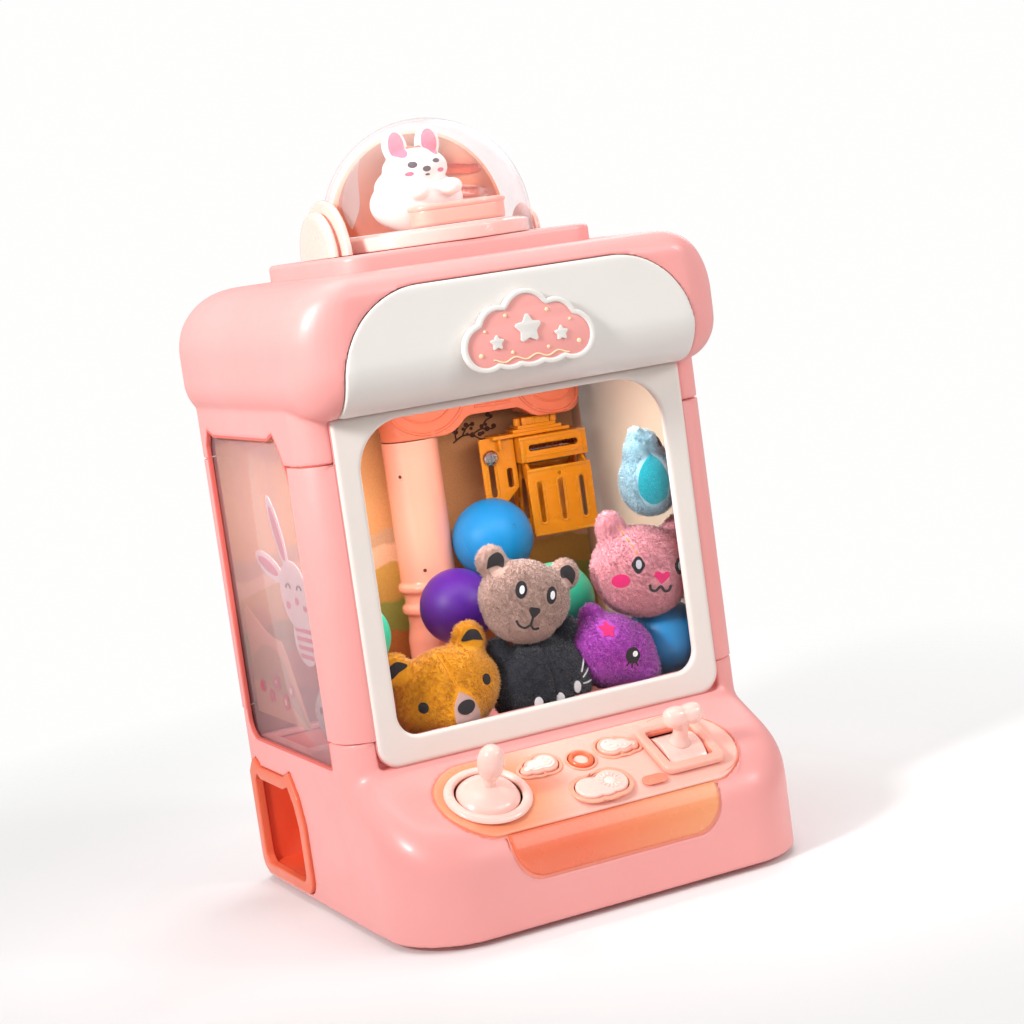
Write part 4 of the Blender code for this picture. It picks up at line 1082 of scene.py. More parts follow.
def ring_button(name, at):
    ring = [(3.9, 1.5), (4.4, 2.6), (5.4, 2.7), (6.1, 1.9), (6.2, 0.8), (6.2, -4.5), (3.9, -4.5)]
    show(turned("ring_button", soft_profile(ring, 0.5), 96, at), CORAL, [name], body=name)
    disc = [(0.0, 1.5), (2.6, 1.4), (3.8, 1.0), (3.8, -4.0), (0.0, -4.0)]
    show(turned("ring_button_disc", soft_profile(disc, 0.3), 96, at), PINK_LIGHT, body=name)


def buttons():
    for name, (x, up, outline) in button_outlines().items():
        at = deck_frame(x, up)
        reach = {"button_cloud": 3.0, "button_centre": 1.9}.get(name, 2.3)
        rim = [offset_outline(outline, reach), offset_outline(outline, 0.55)]
        show(plate(f"{name}_rim", rim, (0.2, 1.5), 0.55, at, 4), RIM)
        if name == "button_centre":
            ring_button(name, at)
            continue
        cap = plate(f"{name}_cap", [outline], (-4.5, 2.5), 1.1, at, 5)
        show(cap, PINK_LIGHT if name == "button_cloud" else PEACH, [name], body=name)
        if name == "button_cloud":
            sun_relief(name, at)
        else:
            wing_relief(name, at, outline, 1 if x > 0 else -1)
    line = [(25.8 * math.cos(a), 25.8 * math.sin(a), 0.55) for a in arc(-70, 110, 36)]
    show(tube("panel_right_line", [line], 0.25, deck_frame(CONTROL_X)), BEAD)
    pill = plate("panel_label_pill", [rectangle(20, 33, -21, -14, 3.2)], (0.5, 1.0), 0.25, deck_frame())
    show(pill, BEAD)


# ------------------------------------------------------------------ crane


def column():
    profile = [
        (15.3, 218.9), (15.3, 143.0), (17.2, 141.5), (17.2, 138.5), (14.6, 137.0), (14.6, 131.5),
        (16.6, 130.0), (16.6, 126.5), (14.2, 125.0), (14.2, 118.0), (15.6, 112.0), (15.6, 82.3),
        (15.6, 77.3), (6.0, 77.3), (6.0, 218.9),
    ]
    place = Matrix.Translation(COLUMN)
    tall = turned("crane_column", soft_profile(profile, 1.6, 5), 128, place)
    show(tall, COLUMN_PINK, ["column_tube"])
    edge = soft_profile([(1.0, 15.42), (1.9, 15.5), (2.1, 15.1), (1.0, 15.1)], 0.1)
    for index, (turn, z) in enumerate(((-142.0, 201.0), (-118.0, 150.0), (40.0, 201.0))):
        at = place @ moving(0.0, 0.0, z) @ turning(turn, "Z") @ turning(90, "Y")
        show(turned(f"column_hole_{index}", edge, 32, at), COLUMN_PINK)
        # a dark disc just inside each hole is painted shade, standing for the shaded inside of the hollow
        # column
        show(cylinder(f"column_hole_shade_{index}", 1.1, (14.6, 15.33), at, 24), HOLE_SHADE)


def on_arm(u, z, out, side):
    """A point on the arm's rounded flank; u runs along it from the column's axis."""
    radius = ARM_HALF + out
    if 0 <= u <= ARM_REACH:
        return Vector((u, side * radius, z))
    start = ARM_REACH if u > ARM_REACH else 0.0
    turn = (u - start) / ARM_HALF
    return Vector((start + radius * math.sin(turn), side * radius * math.cos(turn), z))


def arm():
    lobes = [
        (-30, 246.0, 0.0), (-30, 226.0, 0.0), (-13.5, 226.0, 3.0), (-6.0, 219.2, 16.0), (20.0, 219.2, 16.0),
        (30.0, 228.0, 8.0), (58.0, 228.0, 8.0), (68.0, 221.3, 12.0), (90.0, 221.3, 14.0), (110.0, 238.0, 8.0),
        (110, 246.0, 0.0),
    ]
    body = plate("arm", [rounded(lobes, 12)], (-ARM_HALF, ARM_HALF), 0.0, FROM_FRONT)
    half = [Vector((ARM_HALF * math.sin(a), -ARM_HALF * math.cos(a))) for a in arc(0, 180, 32)]
    plan = [p + Vector((ARM_REACH, 0.0)) for p in half] + [-p for p in half]
    body = boolean(body, plate("arm_plan", [plan], (200, 260), 0.0), "INTERSECT")
    body = union(body, cylinder("arm_collar", 15.3, (219.2, 235.0), Matrix(), 96))
    body = cut(body, cylinder("arm_bore", 4.4, (200, 238)))
    body = placed(remeshed(body, 0.75), ARM_FRAME)
    show(body, ARM_CORAL, ["crane_arm"], "arm_cover", "swing")
    arm_beads()


def arm_beads():
    """Concentric beads round both of the arm's lobes, joined by straight ones, on its two flanks."""
    for name, radius, *rings in (
        ("arm_bead_wide", 0.85, 23.0, 22.0),
        ("arm_bead_fine", 0.55, 17.0, 16.2),
        ("arm_bead_eye", 0.5, 11.0, 10.6),
    ):
        paths = []
        for side in (-1, 1):
            for middle, reach in zip((7.0, 79.0), rings):
                bow = [(middle + reach * math.cos(a), 244.5 + reach * math.sin(a)) for a in arc(184, 356, 40)]
                paths.append([on_arm(u, z, 0.15, side) for u, z in bow])
            paths.append([on_arm(34 + 2.5 * k, 244.0 - 0.55 * reach, 0.1, side) for k in range(9)])
        show(tube(name, paths, radius, ARM_FRAME), ARM_CORAL, body="swing")


def hang(obj, material, body, node, name):
    """Puts a piece of the claw, drawn with the arm along X, under the arm."""
    return show(placed(obj, ARM_FRAME), material, [node], name, body)


def claw_hanger():
    guide = [(37.3, 176.6, 1.0), (49.0, 176.6, 1.0), (56.8, 184.0, 1.5), (56.8, 212.6, 0.0), (37.3, 212.6, 1.0)]
    guide = rounded(guide, 6)
    slot = rectangle(41.0, 44.2, 180.4, 203.6, 1.5)
    small = rectangle(51.0, 54.2, 184.5, 195.0, 1.4)
    edge = [(p.x, -3.0, p.y) for p in offset_outline(slot, 1.0)]
    pieces = [
        plate("guide", [guide, slot, small], (1.0, 3.0), 0.4, FROM_FRONT, 3),
        tube("guide_edge", [edge], 0.35, Matrix(), True),
        block("flange", (44, 88), (-8, 8), (211.4, 213.4), 0.5),
        block("step_low", (56, 84), (-7.2, 7.2), (213.2, 215.2), 0.5),
        block("step_mid", (59, 81), (-6.6, 6.6), (215.0, 217.0), 0.5),
        block("tower", (62, 78), (-6, 6), (216.8, 221.0), 0.6),
        cylinder("boss_a", 1.9, (217.0, 221.0), moving(59.6, -4.2, 0.0), 32, 0.3),
        cylinder("boss_b", 1.9, (217.0, 221.0), moving(80.4, -4.2, 0.0), 32, 0.3),
        block("rib_a", (47.0, 48.4), (-7.6, 7.6), (205.5, 211.8), 0.3),
    ]
    for start in (64.5, 68.2, 71.9, 75.6):
        pieces.append(block("flute", (start, start + 1.2), (-6.5, 6.5), (217.0, 220.6), 0.3))
    hang(merged("claw_bracket", *pieces), AMBER, "swing", "claw_hanger", "claw_bracket")


def claw_carriage():
    slot = rectangle(62.5, 90.5, 202.8, 206.2, 1.5)
    box = cut(
        block("carriage", (57.3, 95.7), (-11, 11), (197.0, 210.9), 0),
        block("inside", (59.3, 93.7), (-9.4, 9.4), (190, 208.6), 0),
        plate("slot", [slot], (5, 20), 0.0, FROM_FRONT),
        plate("slot_rear", [slot], (-20, -5), 0.0, FROM_FRONT),
        plate("end_slot", [rectangle(-5.0, 5.0, 199.5, 204.5, 1.2)], (90, 100), 0.0, FROM_RIGHT),
    )
    tab = rounded([(38.6, 198.2, 2.0), (58.0, 198.2, 0.5), (58.0, 208.0, 0.5), (38.6, 208.0, 2.0)], 6)
    pieces = [
        bevelled(box),
        plate("tab", [tab], (-1.4, 0.6), 0.3, FROM_FRONT),
        block("lip_low", (60.0, 93.0), (-11.5, -10.6), (199.6, 200.8), 0.3),
        block("lip_top", (57.6, 95.4), (-11.6, -10.4), (209.2, 210.7), 0.35),
        block("ear_left", (57.5, 60.0), (-11.4, -10.4), (197.2, 209.0), 0.3),
        block("ear_right", (93.0, 95.5), (-11.4, -10.4), (197.2, 209.0), 0.3),
    ]
    hang(merged("claw_frame", *pieces), AMBER, "carriage", "claw_carriage", "claw_frame")
    guide_screw(moving(42.6, 0.0, 202.0) @ FROM_FRONT)


def guide_screw(at):
    """The cross-headed screw that runs in the bracket's slot."""
    head = [(0.0, 5.8), (2.2, 5.7), (3.6, 5.2), (4.2, 4.5), (4.4, 3.5), (4.4, 3.3), (1.2, 3.3), (1.2, -1.0)]
    screw = turned("screw", soft_profile([*head, (0.0, -1.0)], 0.4), 64, at)
    wide, narrow = (-2.1, 2.1), (-0.42, 0.42)
    cross = [placed(block("cross", x, y, (4.4, 7.0), 0), at) for x, y in ((wide, narrow), (narrow, wide))]
    hang(cut(screw, *cross), STEEL, "carriage", "guide_screw", "cross_head_screw")


def claw_jaw(node, side):
    """Half of the grab: a slotted face, edge ribs and two tapering cheeks on the pivot pin."""
    middle, half = 76.5, 18.3
    left, right = middle - half, middle + half
    face = [rectangle(left, right, 157.0, 193.6, 2.0)]
    slots = [rectangle(at - 1.3, at + 1.3, 164.0, 186.0, 1.25) for at in (middle - 12, middle, middle + 12)]
    depth = (13.5, 15.0) if side < 0 else (-15.0, -13.5)
    flange = sorted((side * 15.3, side * 13.2))
    beads = [[(p.x, side * 15.0, p.y) for p in offset_outline(slot, 0.9)] for slot in slots]
    cheek = rounded(
        [
            (14.3, 193.0, 0.6), (8.8, 196.4, 0.6), (8.8, 204.5, 0.6), (6.0, 206.6, 0.6), (2.2, 206.0, 0.6),
            (0.9, 202.0, 0.6), (2.2, 196.5, 0.6), (12.9, 157.6, 0.6), (14.3, 157.6, 0.6),
        ],
        4,
    )
    window = rounded([(7.6, 189.0, 0.8), (12.6, 189.0, 0.8), (12.6, 172.0, 0.5)], 4)
    if side < 0:
        cheek, window = mirrored(cheek), mirrored(window)
    sheet = [cheek, window, circle(side * 4.0, 203.0, 1.45, 24)]
    pieces = [
        plate("face", face + slots + [circle(middle, 189.3, 0.9, 24)], depth, 0.4, FROM_FRONT, 3),
        tube("slot_lips", beads, 0.38, Matrix(), True),
        block("rim", (left + 0.2, right - 0.2), flange, (191.6, 193.6), 0.4),
        block("foot", (left + 0.2, right - 0.2), flange, (157.0, 158.8), 0.4),
        plate("cheek_left", sheet, (left + 1.4, left + 2.9), 0.3, FROM_RIGHT),
        plate("cheek_right", sheet, (right - 2.9, right - 1.4), 0.3, FROM_RIGHT),
    ]
    hang(merged(f"{node}_basket", *pieces), AMBER, node.replace("claw_", ""), node, f"{node}_basket")


def claw():
    claw_hanger()
    claw_carriage()
    claw_jaw("claw_jaw_front", -1)
    claw_jaw("claw_jaw_rear", 1)


# ------------------------------------------------------------------ dome, rabbit and badge


def half_round(radius, steps):
    """A dome's profile (radius, height) from its top down to its rim."""
    return [(radius * math.sin(a), radius * math.cos(a)) for a in arc(0, 90, steps)]


def dome_parts():
    place = Matrix.Translation(DOME)
    edge, inside = DOME_RADIUS, DOME_RADIUS - 1.4
    skirt = PLINTH_TOP + 0.7 - DOME.z
    lip = [(edge, skirt + 2.4), (edge + 0.3, skirt + 1.8), (edge + 0.3, skirt + 0.3), (edge, skirt)]
    shell = half_round(edge, 48) + lip + [(inside, skirt)] + half_round(inside, 48)[::-1]
    show(turned("dome_shell", shell, 144, place, 60.0), DOME_GLASS, ["dome_cover"])
    floor = PLINTH_TOP + 0.3 - DOME.z
    disc = [(0.0, -2.1), (44.0, -2.1), (46.0, -2.3), (50.8, -3.4), (51.0, -5.0), (51.0, floor), (0.0, floor)]
    show(turned("dome_floor", soft_profile(disc, 0.8), 128, place), PINK_LIGHT, ["dome_base"])
    hub = [
        (0.0, 13.4), (8.0, 13.4), (20.0, 13.2), (23.0, 11.6), (23.6, 8.0), (20.4, 7.2), (20.0, 5.4),
        (27.4, 5.0), (28.4, 3.6), (28.4, 0.0), (0.0, 0.0),
    ]
    table = PLINTH_TOP + 0.4
    for side, name, size in ((-1, "dome_hub_left", 1.0), (1, "dome_hub_right", 0.5)):
        flatter = Matrix.Diagonal((size, size, size * 0.7, 1.0))
        at = moving(side * (DOME_RADIUS + 0.6), DOME.y, table) @ turning(side * 90, "Y") @ flatter
        cap = turned(f"{name}_cap", soft_profile(hub, 1.5, 5), 128, at)
        cap = cut(cap, block("under", (-90, 90), (20, 120), (270, table), 0))
        show(shade(cap, 40.0), PINK_LIGHT, [name])
    dome_scene()


def dome_scene():
    """The coral half shell behind the figure with its prints, and the figure's desk."""
    low = DOME.z - 1.6
    ring = half_round(48.4, 40) + [(48.4, -1.9), (46.8, -1.9)] + half_round(46.8, 40)[::-1]
    back = turned("half_shell", ring, 128, Matrix.Translation(DOME), 60.0)
    back = boolean(back, block("keep", (-60, 60), (DOME.y + 8, 140), (low, 400), 0), "INTERSECT")
    tree = tree_for(back)
    leaf = loop_through((0, -17), (-6, -8), (-7, 3), (-1, 17), (5, 4), (6, -7), steps=8)
    panel = rounded([(-11, -14, 2), (11, -14, 2), (11, 12, 6), (-11, 14, 6)], 8)
    plank = rounded([(-15, -2.5, 1), (15, -8, 1), (15, -4, 1), (-15, 2.5, 1)], 4)
    hill = circle(0, 0, 17, 48, 0.62)
    for name, at, outline, material in (
        ("leaf_print", (-25, 350), leaf, PRINT_WHITE),
        ("panel_print", (12, 358), panel, BEIGE),
        ("plank_print", (28, 349), plank, BEAD),
        ("plank_upper", (24, 361), plank, CORAL),
        ("hill_print", (30, 338), hill, PEACH),
    ):
        show(patch(name, tree, Vector(at), outline, 0.2, 8, 60.0), material)
    show(shade(back, 60.0), BACKDROP, ["dome_backdrop"], "half_shell")
    tub = rounded([(-20, 33, 9.0), (30, 33, 12.0), (33, 51, 6.0), (-20, 51, 5.0)], 10)
    desk = plate("desk", [offset_outline(tub, -0.8)], (low, low + 9.0), 2.0, Matrix(), 6)
    top = plate("desk_top", [tub], (low + 7.6, low + 10.8), 1.5, Matrix(), 5)
    show(merged("rabbit_desk", desk, top), PEACH, ["rabbit_console"])


def rabbit():
    x, y = -5.0, 68.0
    floor = DOME.z - 1.8
    foot = moving(x, y, floor)
    wider = foot @ Matrix.Diagonal((1.24, 1.12, 1.04, 1.0)) @ foot.inverted()
    parts = [
        ball("body", (x, y, floor + 13.0), (20.0, 15.0, 14.6)),
        ball("chest", (x - 4, y - 2, floor + 20.0), (14.0, 12.5, 11.0)),
        ball("head", (x, y - 3, floor + 28.5), (13.8, 12.0, 10.2)),
        ball("paw_left", (x - 4.5, y - 15.5, floor + 17.5), (4.6, 5.4, 4.0)),
        ball("paw_right", (x + 10.0, y - 14.5, floor + 18.0), (4.8, 5.6, 4.2)),
    ]
    for side in (-1, 1):
        ear = ball("ear", (0, 0, 0), (5.5, 2.9, 9.2))
        tilt = Matrix.Rotation(side * 0.10, 4, "Y")
        parts.append(bake(placed(ear, moving(x + side * 7.2, y - 2, floor + 40.0) @ tilt)))
    figure = remeshed(merged("figure", *parts), 0.6, 4)
    figure = boolean(figure, block("seat", (-60, 60), (20, 120), (floor + 0.2, 400), 0), "INTERSECT")
    tree = tree_for(figure)
    for name, across, up, outline, material in (
        ("ear_pink_left", -7.3, 40.5, circle(0, 0, 3.4, 40, 1.9), ROSE),
        ("ear_pink_right", 7.3, 40.5, circle(0, 0, 3.4, 40, 1.9), ROSE),
        ("eye_left", -5.0, 30.2, circle(0, 0, 1.9, 32, 0.8), INK),
        ("eye_right", 5.6, 31.0, circle(0, 0, 1.7, 32, 0.6), INK),
        ("nose", 0.6, 27.6, circle(0, 0, 1.8, 32, 0.75), INK),
        ("mouth", 0.9, 24.9, circle(0, 0, 1.1, 24, 0.45), INK),
        ("cheek_left", -6.6, 26.0, circle(0, 0, 1.7, 24, 0.6), ROSE),
        ("cheek_right", 7.4, 26.4, circle(0, 0, 1.7, 24, 0.6), ROSE),
    ):
        mark = patch(f"rabbit_{name}", tree, Vector((x + across, floor + up)), outline, 0.12, 5, 40.0)
        show(placed(mark, wider), material)
    show(placed(shade(figure, 60.0), wider), WHITE, ["rabbit_figure"], "seated_rabbit")
    bow = [ball("knot", (x, y - 4.5, floor + 38.2), (0.9, 0.9, 0.9), 3)]
    bow += [ball("loop", (x + side * 1.9, y - 4.5, floor + 38.4), (1.7, 0.8, 1.2), 3) for side in (-1, 1)]
    show(placed(merged("rabbit_bow", *bow), wider), CORAL)


def star_outline(x, z, size):
    corners = []
    for k in range(10):
        a = math.pi / 2 + math.pi * k / 5
        reach = size if k % 2 == 0 else size * 0.52
        corners.append((x + reach * math.cos(a), z + reach * math.sin(a), size * 0.14))
    return rounded(corners, 4)


def badge():
    """A cloud plaque with a plain star between two small ones, where the toy carries its name."""
    discs = [(0.0, 281.0, 13.5), (0.0, 272.0, 14.8)]
    for side in (-1, 1):
        discs += [(side * 15.0, 277.0, 11.5), (side * 23.0, 269.5, 12.0), (side * 11.0, 270.0, 12.6)]
    outline = discs_outline(discs, (0.0, 273.0), 220)
    face = -HEAD_FRONT
    edge = [outline, offset_outline(outline, -2.6)]
    rim = plate("badge_rim", edge, (face + 0.8, face + 4.4), 0.9, FROM_FRONT, 4)
    show(rim, CREAM, ["badge"], "badge_rim")
    field = plate("badge_field", [offset_outline(outline, -2.3)], (face + 0.8, face + 3.4), 0.3, FROM_FRONT)
    show(field, ROSE_FIELD)
    stars = [star_outline(0.0, 275.5, 8.4), star_outline(-17.0, 271.0, 4.4), star_outline(17.0, 271.0, 4.4)]
    stars = [plate("star", [star], (face + 3.2, face + 4.3), 0.35, FROM_FRONT, 3) for star in stars]
    show(merged("badge_stars", *stars), CREAM)
    dots = []
    for x, z, radius in ((26.0, 266.0, 1.2), (9.5, 265.5, 0.9), (11.0, 283.0, 1.0), (22.5, 277.0, 0.8)):
        dots += [ball("dot", (side * x, -(face + 3.4), z), (radius, 0.6, radius), 3) for side in (-1, 1)]
    wave = [(x, -(face + 3.5), 262.3 + 0.9 * math.sin(x * 0.55)) for x in range(-20, 21)]
    dots.append(tube("wave", [wave], 0.4))
    show(merged("badge_dots", *dots), BADGE_LIGHT)


# ------------------------------------------------------------------ prizes


def tree_for(obj):
    mesh = obj.data
    return BVHTree.FromPolygons([v.co for v in mesh.vertices], [tuple(p.vertices) for p in mesh.polygons])


def laid(tree, at, lift, start=-80.0):
    """The point of a skin in front of (x, z), seen from y = start looking back, lifted off it."""
    hit, normal, _, _ = tree.ray_cast(Vector((at[0], start, at[1])), Vector((0.0, 1.0, 0.0)))
    if hit is None:
        hit, normal, _, _ = tree.find_nearest(Vector((at[0], start * 0.2, at[1])))
    if normal.y > 0:
        normal = -normal
    return hit + normal * lift


def patch(name, tree, centre, outline, lift=0.3, rings=6, start=-80.0):
    """A thin patch on a skin: an outline about a centre, its edge turned down into the skin."""
    bm = bmesh.new()
    middle = bm.verts.new(laid(tree, centre, lift, start))
    rows = []
    for k in range(1, rings + 1):
        rows.append([bm.verts.new(laid(tree, centre + p * (k / rings), lift, start)) for p in outline])
    rows.append([bm.verts.new(laid(tree, centre + p * 1.03, -0.5, start)) for p in outline])
    count = len(outline)
    for k in range(count):
        bm.faces.new((middle, rows[0][k], rows[0][(k + 1) % count]))
    for inner, outer in zip(rows, rows[1:]):
        for k in range(count):
            n = (k + 1) % count
            bm.faces.new((inner[k], outer[k], outer[n], inner[n]))
    bmesh.ops.recalc_face_normals(bm, faces=bm.faces)
    return shade(mesh_object(name, bm), 60.0)


def stitched(name, tree, runs, radius=0.4, lift=0.25):
    """Sewn lines laid on a skin."""
    paths = [[laid(tree, p, lift) for p in catmull(run, 8)] for run in runs]
    return tube(name, paths, radius)


STUFFING = 0.02  # the cloth simulation's metres to a drawn millimetre


def stuffed(skin, seam, cap=1.6):
    """Blows the skin up like filled cloth, held along its seams; no point moves more than cap."""
    start = [v.co.copy() for v in skin.data.vertices]
    group = skin.vertex_groups.new(name="seam")
    group.add([i for i, p in enumerate(start) if seam(p)], 1.0, "REPLACE")
    skin.data.transform(Matrix.Scale(STUFFING, 4))
    cloth = skin.modifiers.new("cloth", "CLOTH")
    cloth.settings.quality = 4
    cloth.settings.mass = 0.12
    cloth.settings.tension_stiffness = 8.0
    cloth.settings.compression_stiffness = 8.0
    cloth.settings.use_pressure = True
    cloth.settings.uniform_pressure_force = 9.0
    cloth.settings.effector_weights.gravity = 0.0
    cloth.settings.vertex_group_mass = "seam"
    cloth.collision_settings.use_collision = False
    for number in range(1, 19):
        bpy.context.scene.frame_set(number)
    skin = bake(skin)
    skin.data.transform(Matrix.Scale(1 / STUFFING, 4))
    for vert, old in zip(skin.data.vertices, start):
        move = vert.co - old
        if move.length > cap:
            vert.co = old + move * (cap / move.length)
        if seam(old):
            vert.co = old - vert.normal * 0.5
    bpy.context.scene.frame_set(1)
    return skin


def skin_of(name, blobs, seam, voxel):
    """One sewn skin over overlapping stuffed blobs: (centre, radii) or (centre, radii, lean about Y)."""
    parts = []
    for centre, radii, *lean in blobs:
        part = ball("blob", (0, 0, 0), radii)
        part.matrix_world = moving(*centre) @ Matrix.Rotation(lean[0] if lean else 0.0, 4, "Y")
        parts.append(bake(part))
    skin = remeshed(merged(name, *parts), voxel, 3)
    skin = stuffed(skin, seam)
    smooth = skin.modifiers.new("smooth", "SUBSURF")
    smooth.levels = smooth.render_levels = 1
    return bake(skin, 180.0)


def fuzz(skin, name, count, length, keep_off, seed, width=0.2):
    """Short fibres leaning every way off the skin, none where a patch lies."""
    draw = np.random.default_rng(seed)
    mesh = skin.data
    mesh.calc_loop_triangles()
    points = np.empty(len(mesh.vertices) * 3)
    mesh.vertices.foreach_get("co", points)
    points = points.reshape(-1, 3)
    tris = np.empty(len(mesh.loop_triangles) * 3, np.int32)
    mesh.loop_triangles.foreach_get("vertices", tris)
    corners = points[tris.reshape(-1, 3)]
    cross = np.cross(corners[:, 1] - corners[:, 0], corners[:, 2] - corners[:, 0])
    area = np.linalg.norm(cross, axis=1)
    pick = draw.choice(len(area), count, p=area / area.sum())
    a, b = draw.random((2, count, 1))
    flip = (a + b) > 1
    a, b = np.where(flip, 1 - a, a), np.where(flip, 1 - b, b)
    first, second, third = (corners[pick, k] for k in range(3))
    spot = first + a * (second - first) + b * (third - first)
    normal = cross[pick] / np.maximum(area[pick], 1e-9)[:, None]
    keep = np.ones(count, bool)
    for x, z, rx, rz in keep_off:
        inside = ((spot[:, 0] - x) / rx) ** 2 + ((spot[:, 2] - z) / rz) ** 2 < 1.0
        keep &= ~(inside & (normal[:, 1] < 0.2))
    spot, normal = spot[keep], normal[keep]
    count = len(spot)
    lean = normal + draw.normal(0.0, 0.45, (count, 3)) + np.array((0.0, 0.0, -0.25))
    lean /= np.linalg.norm(lean, axis=1)[:, None]
    side = np.cross(lean, draw.normal(0.0, 1.0, (count, 3)))
    side /= np.linalg.norm(side, axis=1)[:, None]
    other = np.cross(lean, side)
    reach = length * draw.uniform(0.6, 1.15, (count, 1))
    base = spot - normal * 0.15
    rings = [base + width * (math.cos(t) * side + math.sin(t) * other) for t in (0.0, 2.094, 4.189)]
    verts = np.stack([*rings, base + lean * reach], axis=1).reshape(-1, 3)
    first = 4 * np.arange(count)[:, None]
    faces = np.concatenate([first + np.array(f) for f in ((0, 1, 3), (1, 2, 3), (2, 0, 3))])
    made = bpy.data.meshes.new(name)
    made.from_pydata(verts.tolist(), [], faces.tolist())
    made.shade_smooth()
    return object_of(name, made)


def posed(node, size, roll=0.0, yaw=0.0, shift=(0.0, 0.0, 0.0)):
    """Where a plush sits, from its CAD node's middle: grown by size, leaning by roll and turned by yaw."""
    low, high = cad(node)
    middle = (low + high) / 2 + Vector(shift)
    return Matrix.Translation(middle) @ turning(yaw, "Z") @ turning(roll, "Y") @ Matrix.Scale(size, 4)


def pair(name, left, right, outline, material, lift, mirror=False):
    """A left and a right mark of one shape, the right one reflected if mirror is set."""
    other = mirrored(outline) if mirror else outline
    return [(f"{name}_left", left, outline, material, lift), (f"{name}_right", right, other, material, lift)]


def ears(x, y, z, radii, lean=0.0):
    """Two blobs at each side of a head, leaning outwards."""
    return [((-x, y, z), radii, -lean), ((x, y, z), radii, lean)]


def loop_through(*points, steps=6):
    """A smooth closed outline through points."""
    return catmull([*points, points[0]], steps)[:-1]


def plush(node, fur, at, blobs, seam, marks, lines, count, length, voxel, seed):
    """One sewn animal: skin, pile, patches and stitched lines, all in its own pose."""
    skin = skin_of(node, blobs, seam, voxel)
    tree = tree_for(skin)
    keep_off = []
    for name, (x, z), outline, material, lift in marks:
        wide = max(abs(p.x) for p in outline) + 0.5
        tall = max(abs(p.y) for p in outline) + 0.5
        keep_off.append((x, z, wide, tall))
        show(placed(patch(f"{node}_{name}", tree, Vector((x, z)), outline, lift), at), material)
    for name, runs, radius, material in lines:
        show(placed(stitched(f"{node}_{name}", tree, runs, radius), at), material)
        for run in runs:
            keep_off += [(p[0], p[1], 1.1, 1.1) for p in catmull(run, 4)]
    show(placed(fuzz(skin, f"{node}_pile", count, length, keep_off, seed), at), fur)
    show(placed(skin, at), fur, [node], f"{node}_skin")


def rim_seam(p):
    """Whether a point of a skin lies on the seam round its edge."""
    return abs(p.y) < 0.9


def plush_grey():
    inner = loop_through((-3.4, -3.2), (-3.6, 1.6), (0, 4.6), (3.4, 2.6), (3.2, -1.2), (0.2, -1.0))
    nose = rounded([(-3.9, 2.2, 1.2), (0.0, -2.9, 1.0), (3.9, 2.2, 1.2)], 6)
    lip = [(-6.6, -9.6), (-4.5, -11.6), (-1.8, -12.0), (0.3, -10.6), (2.4, -11.9), (4.8, -11.2)]
    plush(
        "plush_bear_grey", FUR_GREY, posed("plush_bear_grey", 1.15, 20.0),
        [
            ((0, 0, 0), (21.5, 11.0, 17.0)),
            ((0, 0, -5), (18.5, 10.5, 14.5)),
            *ears(18.0, 1.5, 13.5, (7.4, 4.2, 7.4)),
        ],
        rim_seam,
        [
            *pair("ear", (-17.5, 13.0), (17.5, 13.0), inner, FELT_BLACK, 0.35, True),
            *pair("eye", (-7.2, 3.6), (7.6, 3.6), circle(0, 0, 2.5, 36, 1.5), FELT_BLACK, 0.4),
            *pair("glint", (-7.0, 3.6), (7.8, 3.6), circle(0, 0, 1.05, 24, 1.7), FELT_WHITE, 0.75),
            ("nose", (0.4, -5.0), nose, FELT_BLACK, 0.5),
        ],
        [("mouth", [[(0.4, -7.0), (0.4, -9.0), (0.3, -10.6)], lip], 0.5, FELT_BLACK)],
        count=17000, length=1.25, voxel=1.4, seed=11,
    )


def plush_orange():
    inner = loop_through((-4.6, -2.2), (-3.4, 2.8), (0.6, 4.2), (4.6, 1.4), (3.2, 0.4), (0.2, 1.6))
    muzzle = loop_through(
        (0, 9.2), (-4.6, 4.0), (-5.8, -4.0), (-3.0, -9.0), (3.0, -9.0), (5.8, -4.0), (4.6, 4.0)
    )
    plush(
        "plush_bear_orange", FUR_ORANGE,
        posed("plush_bear_orange", 1.16, -11.0, 0.0, (1.5, 0.0, -2.0)),
        [
            ((0, 0.5, 0), (25.5, 12.8, 19.5)),
            ((0, -3.5, -7), (13.0, 10.5, 12.0)),
            *ears(18.0, 1.5, 17.0, (8.2, 4.6, 8.6)),
        ],
        lambda p: rim_seam(p) or (abs(p.x) < 0.8 and p.z > 3.0 and p.y < 0),
        [
            *pair("ear", (-18.0, 17.5), (18.0, 17.5), inner, FELT_BLACK, 0.35, True),
            *pair("eye", (-15.2, 1.0), (15.6, 1.0), circle(0, 0, 2.0, 30, 1.2), FELT_BLACK, 0.4),
            ("muzzle", (1.2, -7.5), muzzle, FELT_MAUVE, 0.35),
            ("nose", (1.4, -5.2), circle(0, 0, 4.0, 36, 0.72), FELT_BLACK, 0.75),
        ],
        [("seam", [[(0.0, 17.5), (0.3, 10.0), (1.0, 3.0)]], 0.22, FUR_ORANGE)],
        count=19000, length=1.3, voxel=1.5, seed=12,
    )


